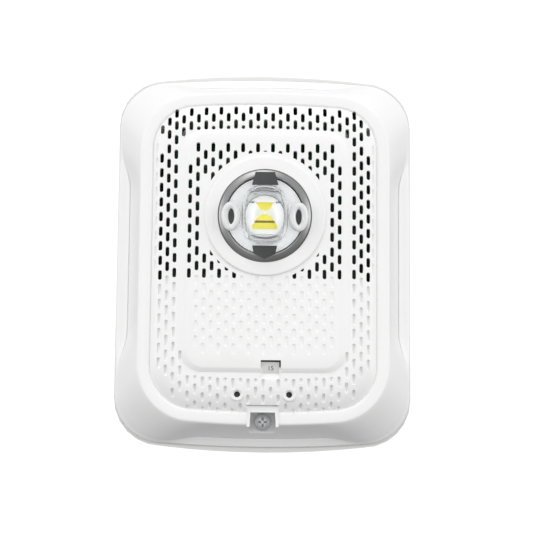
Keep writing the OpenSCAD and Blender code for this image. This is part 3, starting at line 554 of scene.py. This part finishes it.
link(filled.outputs["Mesh"], under.inputs["Mesh"])
joined = add(slot_tree, "GeometryNodeJoinGeometry")
link(raised.outputs["Mesh"], joined.inputs["Geometry"])
link(under.outputs["Mesh"], joined.inputs["Geometry"])
welded = add(slot_tree, "GeometryNodeMergeByDistance", Distance=0.00001)
link(joined.outputs["Geometry"], welded.inputs["Geometry"])
slot_copies = copies_out(slot_tree, slot_in, slot_out, slot_in.outputs["Geometry"],
                         welded.outputs["Geometry"])
slot_copies.inputs["Rotation"].default_value = (math.pi / 2, 0, 0)
print("slot tree nodes:", len(slot_tree.nodes))

# %% Dimple cutter tree
dimple_tree, dimple_in, dimple_out = geometry_tree(
    "dimple_cutters", {"Width": slot_w * MM, "Length": slot_l * MM, "Depth": 0.4 * MM, "Surface": None,
                       "Material": None})
link = dimple_tree.links.new
ball = add(dimple_tree, "GeometryNodeMeshUVSphere", Segments=10, Rings=7, Radius=1.0)
half_split = add(dimple_tree, "ShaderNodeSeparateXYZ")
where = add(dimple_tree, "GeometryNodeInputPosition")
link(where.outputs["Position"], half_split.inputs["Vector"])
which_end = add(dimple_tree, "ShaderNodeMath", operation="SIGN")
link(half_split.outputs["Z"], which_end.inputs[0])
ratio = add(dimple_tree, "ShaderNodeMath", operation="DIVIDE")
link(dimple_in.outputs["Length"], ratio.inputs[0])
link(dimple_in.outputs["Width"], ratio.inputs[1])
extra = add(dimple_tree, "ShaderNodeMath", operation="SUBTRACT")
link(ratio.outputs[0], extra.inputs[0])
extra.inputs[1].default_value = 1.0
shift = add(dimple_tree, "ShaderNodeMath", operation="MULTIPLY")
link(which_end.outputs[0], shift.inputs[0])
link(extra.outputs[0], shift.inputs[1])
stretch = add(dimple_tree, "ShaderNodeCombineXYZ")
link(shift.outputs[0], stretch.inputs["Z"])
capsule = add(dimple_tree, "GeometryNodeSetPosition")
link(ball.outputs["Mesh"], capsule.inputs["Geometry"])
link(stretch.outputs["Vector"], capsule.inputs["Offset"])
skin = add(dimple_tree, "GeometryNodeObjectInfo")
link(dimple_in.outputs["Surface"], skin.inputs["Object"])
ray = add(dimple_tree, "GeometryNodeRaycast")
ray.inputs["Ray Direction"].default_value = (0, 1, 0)
link(skin.outputs["Geometry"], ray.inputs["Target Geometry"])
landed = add(dimple_tree, "GeometryNodeSetPosition")
link(dimple_in.outputs["Geometry"], landed.inputs["Geometry"])
link(ray.outputs["Hit Position"], landed.inputs["Position"])
half_sizes = add(dimple_tree, "ShaderNodeCombineXYZ")
halved = add(dimple_tree, "ShaderNodeMath", operation="MULTIPLY")
halved.inputs[1].default_value = 0.5
link(dimple_in.outputs["Width"], halved.inputs[0])
for axis in ("X", "Z"):
    link(halved.outputs[0], half_sizes.inputs[axis])
link(dimple_in.outputs["Depth"], half_sizes.inputs["Y"])
dimple_copies = copies_out(dimple_tree, dimple_in, dimple_out, landed.outputs["Geometry"],
                           capsule.outputs["Geometry"])
link(half_sizes.outputs["Vector"], dimple_copies.inputs["Scale"])
print("dimple tree nodes:", len(dimple_tree.nodes))

# %% [markdown]
# ## Cutting the cover
# Boolean modifiers take the cutters away and add the seat round the lens, the frame round the screw
# and the bosses. The Manifold solver is quick and exact, as long as every mesh is closed.
# %% Cutting helpers
def combine(piece, other_mesh, operation):
    """Adds or takes away a closed mesh, and leaves a plain mesh on the piece."""
    tool = bpy.data.objects.new("tool", other_mesh)
    bpy.context.scene.collection.objects.link(tool)
    modifier = piece.modifiers.new("cut", "BOOLEAN")
    modifier.operation = operation
    modifier.solver = "MANIFOLD"
    modifier.object = tool
    graph = bpy.context.evaluated_depsgraph_get()
    mesh = bpy.data.meshes.new_from_object(piece.evaluated_get(graph))
    piece.modifiers.clear()
    bpy.data.objects.remove(tool)
    if len(mesh.polygons) == 0:
        raise RuntimeError("the cut left nothing")
    piece.data = mesh


def turned_mesh(name, profile, x=0.0, z=0.0, steps=96):
    """A closed profile of (radius, height) points, turned about an axis that stands on the wall."""
    rings = []
    for r, h in profile:
        rings.append([spot(x + r * math.cos(a), h, z + r * math.sin(a))
                      for a in (2 * math.pi * i / steps for i in range(steps))])
    on_axis = profile[0][0] == 0
    if on_axis:
        rings = rings[1:-1]
    return mesh_from_rings(name, rings, wrap=not on_axis)


def ring_mesh(name, profile, z, steps):
    """A closed loop of (radius, height) points turned about the lens axis, with a hole through it."""
    angles = [2 * math.pi * i / steps for i in range(steps)]
    rings = [[spot(r * math.cos(a), h, z + r * math.sin(a)) for r, h in profile] for a in angles]
    return mesh_from_rings(name, rings, wrap=True)


def disc_mesh(r, h0, h1, x=0.0, z=0.0, steps=64):
    return turned_mesh("disc", [(0, h0), (r, h0), (r, h1), (0, h1)], x, z, steps)


def prism_mesh(name, side_shape, x0, x1, flare=0.0):
    """A shape given by (height, z) points, from x0 to x1; flare widens it as z falls."""
    top = max(z for _, z in side_shape)
    ends = [[spot(x + sign * flare * (top - z), h, z) for h, z in side_shape]
            for x, sign in ((x0, -1), (x1, 1))]
    return mesh_from_rings(name, ends)


# %% Bosses for the chassis screws
chassis_screw_x = 40.9
for side in (-1, 1):
    for z in (53, -49):
        combine(cover, disc_mesh(2.8, 7.6, 18, side * chassis_screw_x, z, 40), "UNION")
        combine(cover, disc_mesh(1.25, 6, 16, side * chassis_screw_x, z, 24), "DIFFERENCE")
print("cover faces with bosses:", len(cover.data.polygons))

# %% Cut the grille
grille_foot, grille_depth = 10.5, 16.5
slot_points = points_piece("slot_points", inner_slots + arch_slots + side_slots, grille_foot)
dot_points = points_piece("dot_points", arch_dots, grille_foot)
white = finishes["cover_white"]
slot_sizes = {"Width": slot_w * MM, "Length": slot_l * MM, "Depth": grille_depth * MM, "Material": white}
dot_sizes = {**slot_sizes, "Length": 1.6 * MM}
slot_mesh = run_tree(slot_points, slot_tree, slot_sizes)
dot_mesh = run_tree(dot_points, slot_tree, dot_sizes)
slots = new_piece("slots", slot_mesh, white)
combine(slots, disc_mesh(land_r, 9, 32, lens_x, lens_z, 128), "DIFFERENCE")
cutters = [slots.data, dot_mesh]
helpers = [slots, slot_points, dot_points]
dimple_kinds = ((crown_dimples, 4.4, 0.85), (panel_dimples, 4.2, 0.34), (short_dimples, 2.2, 0.7))
for places, length, depth in dimple_kinds:
    dimple_points = points_piece("dimple_points", places, 40)
    dimple_sizes = {"Width": 1.55 * MM, "Length": length * MM, "Depth": depth * MM, "Surface": cover,
                    "Material": white}
    cutters.append(run_tree(dimple_points, dimple_tree, dimple_sizes))
    helpers.append(dimple_points)
for cutter in cutters:
    combine(cover, cutter, "DIFFERENCE")
for helper in helpers:
    bpy.data.objects.remove(helper)
print("cover faces after the grille:", len(cover.data.polygons))

# %% Seat round the lens
seat_profile = [(0, 20.3), (boss_r, 20.3), (boss_r, 23.45), (boss_r - 0.12, 23.66), (boss_r - 0.4, 23.78),
                (boss_r - 0.8, 23.8), (0, 23.8)]
combine(cover, turned_mesh("seat", seat_profile, lens_x, lens_z, 128), "UNION")
combine(cover, disc_mesh(18.55, 21.5, 30, 0, lens_z, 128), "DIFFERENCE")
combine(cover, disc_mesh(16.6, 10, 30, 0, lens_z, 128), "DIFFERENCE")
print("cover faces with the seat:", len(cover.data.polygons))

# %% [markdown]
# ## Screw recess, window and holes
# The recess goes down past the lowest place of the screw's head, because the screw moves 3 mm towards
# the wall when it is driven home. The window is a ramp with a slit over the slider's printed strip.
# %% Screw recess and its raised frame
frame_half_w = 6.2
frame_shape = [(7.2, -58.9), (19.4, -58.9), (19.4, -66.9), (12.4, -67.6), (7.2, -67.6)]
combine(cover, prism_mesh("frame", frame_shape, -frame_half_w, frame_half_w), "UNION")
recess_shape = [(9.9, -61.3), (40, -61.3), (40, -80), (9.9, -80)]
combine(cover, prism_mesh("recess", recess_shape, -4.8, 4.8, 0.06), "DIFFERENCE")
combine(cover, disc_mesh(2.1, 0, 30, 0, screw_z, 48), "DIFFERENCE")
groove = [(18.4, -58.5), (30, -58.5), (30, -58.9), (18.4, -58.9)]
combine(cover, prism_mesh("groove", groove, -frame_half_w, frame_half_w), "DIFFERENCE")
print("recess cut")

# %% Setting window with its ramp
ramp = [(20.8, -41.1), (40, -41.1), (40, -48.9), (22.2, -48.9), (20.8, -46.4)]
combine(cover, prism_mesh("ramp", ramp, window_x - 3.9, window_x + 3.9), "DIFFERENCE")
slit = [(16, -41.9), (30, -41.9), (30, -46.2), (16, -46.2)]
combine(cover, prism_mesh("slit", slit, window_x - 3.2, window_x + 3.2), "DIFFERENCE")
print("window cut")

# %% Guarded holes
for gx, gz in guard_holes:
    collar = [(0, 18), (2.6, 18), (2.6, 21.1), (2.45, 21.35), (2.15, 21.45), (0, 21.45)]
    combine(cover, turned_mesh("collar", collar, gx, gz, 40), "UNION")
    bore = [(0, 10), (1.15, 10), (1.15, 20.4), (1.4, 21.0), (1.8, 21.5), (1.8, 23), (0, 23)]
    combine(cover, turned_mesh("bore", bore, gx, gz, 40), "DIFFERENCE")
print("cover faces with the collars:", len(cover.data.polygons))

# %% Clear the top edge over the hinge
relief = [(0, 65.5), (top_edge_h, 65.5), (top_edge_h, 80), (0, 80)]
combine(cover, prism_mesh("relief", relief, -70, 70), "DIFFERENCE")
pocket = [(3.9, 64.9), (7.9, 64.9), (7.9, 69.0), (6.0, 69.6), (5.2, 70.7), (3.9, 71.0), (2.0, 71.0),
          (2.0, 64.9)]
pocket_x, pocket_half_w = 24, 6.6
for x in (-pocket_x, pocket_x):
    combine(cover, prism_mesh("pocket", pocket, x - pocket_half_w, x + pocket_half_w), "DIFFERENCE")
cover.data.shade_smooth()
cover.data.set_sharp_from_angle(angle=math.radians(32))
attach(cover, "appliance")
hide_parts("front_cover")
print("finished cover:", len(cover.data.polygons), "faces")

# %% [markdown]
# ## The clear lens
# The dome is a rounded barrel, taller than it is wide, with an ear at each side that throws light
# along the wall. It is made as rings that morph from the barrel's outline to a soft top, with a wall
# of even thickness, since a thin shell shows the light source behind it without bending it.
# %% Barrel
def squircle(a, b, power, steps=72):
    """Points of a rounded oblong with half sizes a and b; a higher power is squarer."""
    out = []
    for i in range(steps):
        t = 2 * math.pi * i / steps
        c, s = math.cos(t), math.sin(t)
        out.append((a * math.copysign(abs(c) ** (2 / power), c),
                    b * math.copysign(abs(s) ** (2 / power), s)))
    return out


lens_top = -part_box("lens")[0].y / MM
ring_face = 24.9
barrel_a, barrel_b = 9.4, 12.0


def barrel_rings(inset, top):
    """Rings from the foot of the dome almost to its top, drawn in by the inset."""
    rings = []
    for i in range(13):
        angle = math.pi / 2 * i / 12.6
        rise = math.sin(angle)
        shrink = math.cos(angle) ** 0.62
        line = squircle((barrel_a - inset) * shrink, (barrel_b - inset) * shrink, 2.8)
        rings.append([spot(x, mix(ring_face - 1.6, top, rise), lens_z + z) for x, z in line])
    return rings


wall_lens = 1.3
barrel_stack = list(reversed(barrel_rings(0, lens_top))) + barrel_rings(wall_lens, lens_top - wall_lens)
lens_mesh = mesh_from_rings("lens_shell", barrel_stack)
lens_shell = new_piece("lens_shell", lens_mesh, finishes["clear_lens"])
print("lens shell faces:", len(lens_mesh.polygons))

# %% Clear flange under the ring
flange_bore = barrel_a - 1.0
flange_profile = [(flange_bore, 21.6), (17.5, 21.6), (17.5, 22.9), (15.0, 22.9), (14.95, 24.1),
                  (14.7, 24.4), (14.2, 24.4), (13.8, 24.0), (flange_bore, 24.0)]
flange_mesh = turned_mesh("lens_flange", flange_profile, 0, lens_z)
flange = new_piece("lens_flange", flange_mesh, finishes["clear_lens"])
print("flange faces:", len(flange.data.polygons))

# %% [markdown]
# ## The ring
# A turned ring clamps the flange. Its rounded shoulder is what shows as a soft band of light and dark
# round the lens, so the profile has its own points there instead of a plain step.
# %% Ring round the flange
ring_high = -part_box("lens_ring")[0].y / MM
ring_profile = [(17.7, 21.5), (18.4, 21.5), (18.4, ring_high - 1.2), (18.2, ring_high - 0.8),
                (17.7, ring_high - 0.5), (16.4, ring_high - 0.12), (16.1, ring_high), (15.75, ring_high),
                (15.58, ring_high - 0.12), (15.5, ring_high - 0.4), (15.5, 23.4), (17.7, 23.4)]
ring = new_piece("turned_ring", ring_mesh("turned_ring", ring_profile, lens_z, 144), finishes["bright_ring"])
ring.data.shade_smooth()
ring.data.set_sharp_from_angle(angle=math.radians(35))
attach(ring, "appliance")
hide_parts("lens_ring")
print("ring faces:", len(ring.data.polygons))


# %% [markdown]
# ## Ears, bands and ridges
# The moulded details of the dome catch light on their own. Left as part of the thin shell they would hardly
# show,
# so each is a separate small piece: a thick, faintly glowing ear at each side holding a dark piece of painted
# shade for the dark inside seen through it, a band at each end of the barrel, and grey and violet bars for
# the ridges inside.
# %% Ears
def tube_mesh(name, path, radius, sides=14):
    """A round tube along a closed path of (x, h, z) points, flattened a little towards the wall."""
    rings = []
    n = len(path)
    for i, (x, h, z) in enumerate(path):
        before, after = path[i - 1], path[(i + 1) % n]
        along = Vector((after[0] - before[0], after[1] - before[1], after[2] - before[2])).normalized()
        out = Vector((0, 1, 0))
        across = along.cross(out).normalized()
        rings.append([spot(x + across.x * radius * math.cos(a), h + radius * 0.9 * math.sin(a),
                           z + across.z * radius * math.cos(a))
                      for a in (2 * math.pi * k / sides for k in range(sides))])
    return mesh_from_rings(name, rings, wrap=True)


ears = []
ear_x, ear_z = 13.2, lens_z - 0.9
for side, name in ((-1, "left_ear"), (1, "right_ear")):
    loop = []
    for i in range(40):
        t = 2 * math.pi * i / 40
        loop.append((side * ear_x + 2.5 * math.cos(t), ring_face + 1.8, ear_z + 4.5 * math.sin(t)))
    ear = new_piece(name, tube_mesh(name, loop, 1.35), thick_resin)
    ears.append(ear)
print("ears:", len(ears))

# %% Painted shade in the ears: dark pieces for the dark inside seen through each ear
dark = finishes["grey_plastic"]
for side, name in ((-1, "left_ear_slot"), (1, "right_ear_slot")):
    low = [spot(side * ear_x + x, ring_face + 0.4, ear_z + z) for x, z in squircle(1.35, 3.3, 2, 32)]
    high = [spot(side * ear_x + x, ring_face + 1.2, ear_z + z) for x, z in squircle(1.15, 3.0, 2, 32)]
    painted_shade_piece = new_piece(name, mesh_from_rings(name, [low, high]), dark)
    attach(painted_shade_piece, "appliance")
print("a piece of painted shade in each ear")

# %% Bands at the ends of the barrel
bands = []
for side, name in ((-1, "lower_band"), (1, "upper_band")):
    low = [spot(x, ring_face + 2.2, lens_z + side * 9.3 + z) for x, z in squircle(6.4, 1.5, 3, 48)]
    high = [spot(x, ring_face + 3.4, lens_z + side * 9.1 + z) for x, z in squircle(5.6, 0.9, 3, 48)]
    band = new_piece(name, mesh_from_rings(name, [low, high]), thick_resin)
    bands.append(band)
print("bands:", len(bands))

# %% Ridges moulded inside the dome
def arc_tube(name, half, middle_z, end_z, h, radius, material):
    """A thin bar that curves from its ends at end_z to its middle at middle_z."""
    rings = []
    for i in range(25):
        share = i / 12 - 1
        x, z = half * share, lens_z + mix(middle_z, end_z, share * share)
        thin = radius * (1 - share ** 6) + 0.02
        angles = (math.pi / 4 * k for k in range(8))
        rings.append([spot(x, h + thin * math.cos(a), z + thin * math.sin(a)) for a in angles])
    return new_piece(name, mesh_from_rings(name, rings), material)


# In the real lens the ridges are clear resin; their grey and violet here are painted shade and tint for the
# lines that bending light draws at them. The ticks share the grey.
ridge_grey = finish("ridge_grey", (0.33, 0.34, 0.35), 0.3, 0.1, 1200, 0.05, Transmission_Weight=0.3)
ridge_violet = finish("ridge_violet", (0.72, 0.7, 0.8), 0.3, 0.1, 1200, 0.05, Transmission_Weight=0.4)
ridges = [
    arc_tube("upper_ridge", 5.2, 9.0, 8.1, ring_face + 3.9, 0.3, ridge_grey),
    arc_tube("violet_ridge", 5.2, 7.6, 6.7, ring_face + 4.2, 0.3, ridge_violet),
    arc_tube("lower_ridge", 5.2, -9.5, -8.1, ring_face + 3.9, 0.34, ridge_grey),
]
for side, name in ((-1, "left_tick"), (1, "right_tick")):
    tick_x = side * 5.3
    tick = [(tick_x - 1.1, 5.3), (tick_x + 1.1, 5.3), (tick_x + 0.9, 4.7), (tick_x - 0.9, 4.7)]
    low = [spot(x, ring_face, lens_z + z) for x, z in tick]
    high = [spot(x, ring_face + 0.6, lens_z + z) for x, z in tick]
    ridges.append(new_piece(name, mesh_from_rings(name, [low, high]), ridge_grey))
print("ridges and ticks:", len(ridges))

# %% Ride the lens pieces
for piece in [lens_shell, flange] + ears + bands + ridges:
    piece.data.shade_smooth()
    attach(piece, "appliance")
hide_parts("lens")
print("lens pieces ride on the appliance")

# %% [markdown]
# ## Light source
# Seen through the lens, the square yellow emitter reads as an hourglass, wide at both ends. Bending
# real light that way takes a perfect lens and a very long render, so the phosphor itself is shaped.
# %% Hourglass phosphor
def wedge_mesh(name, corners, h0, h1):
    """A low block over a polygon of (x, z) corners, slightly smaller at its top."""
    cx = sum(p[0] for p in corners) / len(corners)
    cz = sum(p[1] for p in corners) / len(corners)
    low = [spot(x, h0, lens_z + z) for x, z in corners]
    high = [spot(mix(x, cx, 0.08), h1, lens_z + mix(z, cz, 0.08)) for x, z in corners]
    return mesh_from_rings(name, [low, high])


phosphor_parts = {
    "upper_phosphor": [(-3.9, 5.9), (3.9, 5.9), (2.9, 4.3), (1.3, 2.7), (-1.3, 2.7), (-2.9, 4.3)],
    "middle_phosphor": [(-0.6, 1.1), (0.6, 1.1), (2.6, 0.1), (4.1, -1.7), (-4.1, -1.7), (-2.6, 0.1)],
    "lower_phosphor": [(-4.6, -2.4), (4.6, -2.4), (5.7, -3.4), (5.8, -4.5), (5.2, -5.1), (-5.2, -5.1),
                       (-5.8, -4.5), (-5.7, -3.4)],
}
phosphor_foot = 19.25
for name, corners in phosphor_parts.items():
    wedge = new_piece(name, wedge_mesh(name, corners, phosphor_foot, 20.6), finishes["led_phosphor"])
    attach(wedge, "appliance")
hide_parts("led_emitter")
# The dark strip between the middle and lower phosphor is painted shade for the dark line that a gap draws
# across the emitter seen through the lens.
shade_strip_corners = [(-4.2, -1.75), (4.2, -1.75), (4.4, -2.35), (-4.4, -2.35)]
shade_strip_mesh = wedge_mesh("phosphor_seam", shade_strip_corners, phosphor_foot, 20.4)
shade_strip_finish = finish("phosphor_painted_shade", (0.25, 0.22, 0.08), 0.5, 0.1, 2500, 0.1)
shade_strip = new_piece("phosphor_seam", shade_strip_mesh, shade_strip_finish)
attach(shade_strip, "appliance")

# %% [markdown]
# ## The screw
# The captive screw has a cross recess that narrows with depth. A turned head with a tapered cross
# taken out of it catches light in its four flanks, as a pressed head does.
# %% Captive screw
screw_low, screw_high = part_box("captive_screw")
head_top = -screw_low.y / MM
screw_tip = -screw_high.y / MM
head_r = (screw_high.x - screw_low.x) / 2 / MM
head_h = head_top - 2.2
shank_r = 1.75
screw_profile = [(0, screw_tip), (1.1, screw_tip), (shank_r, screw_tip + 0.7), (shank_r, head_h),
                 (head_r - 0.1, head_h), (head_r, head_h + 0.15), (head_r, head_h + 0.8),
                 (head_r - 0.25, head_h + 1.25), (head_r - 0.8, head_h + 1.7), (head_r - 1.6, head_h + 2.05),
                 (head_r - 2.6, head_top), (0, head_top)]
screw_mesh = turned_mesh("cross_screw", screw_profile, 0, screw_z, 64)
screw = new_piece("cross_screw", screw_mesh, finishes["zinc_screw"])


def cross_mesh(reach, width, h0, h1, deep_reach, deep_width):
    """A plus sign that narrows from its mouth at h1 to its floor at h0."""
    def plus(a, w):
        return [(a, -w), (a, w), (w, w), (w, a), (-w, a), (-w, w), (-a, w), (-a, -w), (-w, -w), (-w, -a),
                (w, -a), (w, -w)]

    return mesh_from_rings("cross", [[spot(x, h0, screw_z + z) for x, z in plus(deep_reach, deep_width)],
                                     [spot(x, h1, screw_z + z) for x, z in plus(reach, width)]])


combine(screw, cross_mesh(2.1, 0.48, head_h + 0.5, head_top + 0.2, 0.7, 0.3), "DIFFERENCE")
screw.data.shade_smooth()
screw.data.set_sharp_from_angle(angle=math.radians(35))
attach(screw, "screw")
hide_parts("captive_screw")
print("screw faces:", len(screw.data.polygons))

# %% [markdown]
# ## Printed numbers
# The slider shows the light setting in the window. The numbers are text turned into flat meshes just
# above the strip, one for each stop, so that sliding it brings the next one into the window.
# %% Setting numbers
strip_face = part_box("candela_slider")[0].y
settings = ["15", "30", "60", "75", "95", "110", "135"]
step = 5.2
numbers = []
for i, label in enumerate(settings):
    text = bpy.data.curves.new("number_" + label, "FONT")
    text.body = label
    text.size = 2.5 * MM
    text.align_x = "CENTER"
    text.align_y = "CENTER"
    text.extrude = 0.015 * MM
    holder = bpy.data.objects.new("number_" + label, text)
    bpy.context.scene.collection.objects.link(holder)
    graph = bpy.context.evaluated_depsgraph_get()
    flat = bpy.data.meshes.new_from_object(holder.evaluated_get(graph))
    bpy.data.objects.remove(holder)
    stop = Vector((window_x * MM - i * step * MM, strip_face - 0.02 * MM, window_z * MM + 0.1 * MM))
    flat.transform(Matrix.Translation(stop) @ Matrix.Rotation(math.pi / 2, 4, "X"))
    number = new_piece("setting_" + label, flat, ink)
    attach(number, "setting_slider")
    numbers.append(number)
print("numbers on the slider:", len(numbers))

# %% [markdown]
# ## Studio
# A soft white room, four square lamps and a pale floor. The room light fills the shadows. The key lamp
# above makes the upper slopes bright and leaves the lower wall grey, one lamp at each side lights the
# side walls, and a weak one in front lifts the face.
# %% Floor
floor_mesh = bpy.data.meshes.new("floor")
floor_mesh.from_pydata([(-4, -4, -0.6), (4, -4, -0.6), (4, 4, -0.6), (-4, 4, -0.6)], [], [(0, 1, 2, 3)])
floor = new_piece("floor", floor_mesh, finish("floor_white", (0.9, 0.9, 0.9), 0.8, 0.01, 40, 0.01))
floor.visible_diffuse = False
floor.visible_glossy = False
print("floor laid")

# %% Room light, brighter above than below
world = bpy.data.worlds.new("room")
world.use_nodes = True
bpy.context.scene.world = world
room = world.node_tree
glow = room.nodes["Background"]
glow.inputs["Color"].default_value = (1.0, 1.0, 1.0, 1)
direction = add(room, "ShaderNodeTexCoord")
parts = add(room, "ShaderNodeSeparateXYZ")
room.links.new(direction.outputs["Generated"], parts.inputs["Vector"])
sky = add(room, "ShaderNodeMapRange", **{"From Min": -0.35, "From Max": 0.35, "To Min": 0.37, "To Max": 0.75})
room.links.new(parts.outputs["Z"], sky.inputs["Value"])
seen = add(room, "ShaderNodeLightPath")
chosen = add(room, "ShaderNodeMix", data_type="FLOAT")
room.links.new(seen.outputs["Is Camera Ray"], chosen.inputs["Factor"])
room.links.new(sky.outputs["Result"], chosen.inputs[2])
chosen.inputs[3].default_value = 1.05
room.links.new(chosen.outputs[0], glow.inputs["Strength"])
print("room light nodes:", len(room.nodes))


# %% Lamps
def lamp(name, place, size, power):
    """A square soft lamp that looks at the appliance."""
    data = bpy.data.lights.new(name, "AREA")
    data.size = size
    data.energy = power
    light = bpy.data.objects.new(name, data)
    light.location = place
    light.rotation_euler = (-Vector(place)).to_track_quat("-Z", "Y").to_euler()
    bpy.context.scene.collection.objects.link(light)


lamp("key_lamp", (-0.1, -0.7, 1.21), 0.7, 4.3)
lamp("left_lamp", (-1.2, -0.72, 0.2), 0.7, 5.6)
lamp("right_lamp", (1.2, -0.72, 0.2), 0.7, 6.2)
lamp("front_lamp", (-0.02, -1.4, -0.17), 0.9, 2.4)
bpy.context.scene.view_settings.view_transform = "Standard"
print("studio ready")
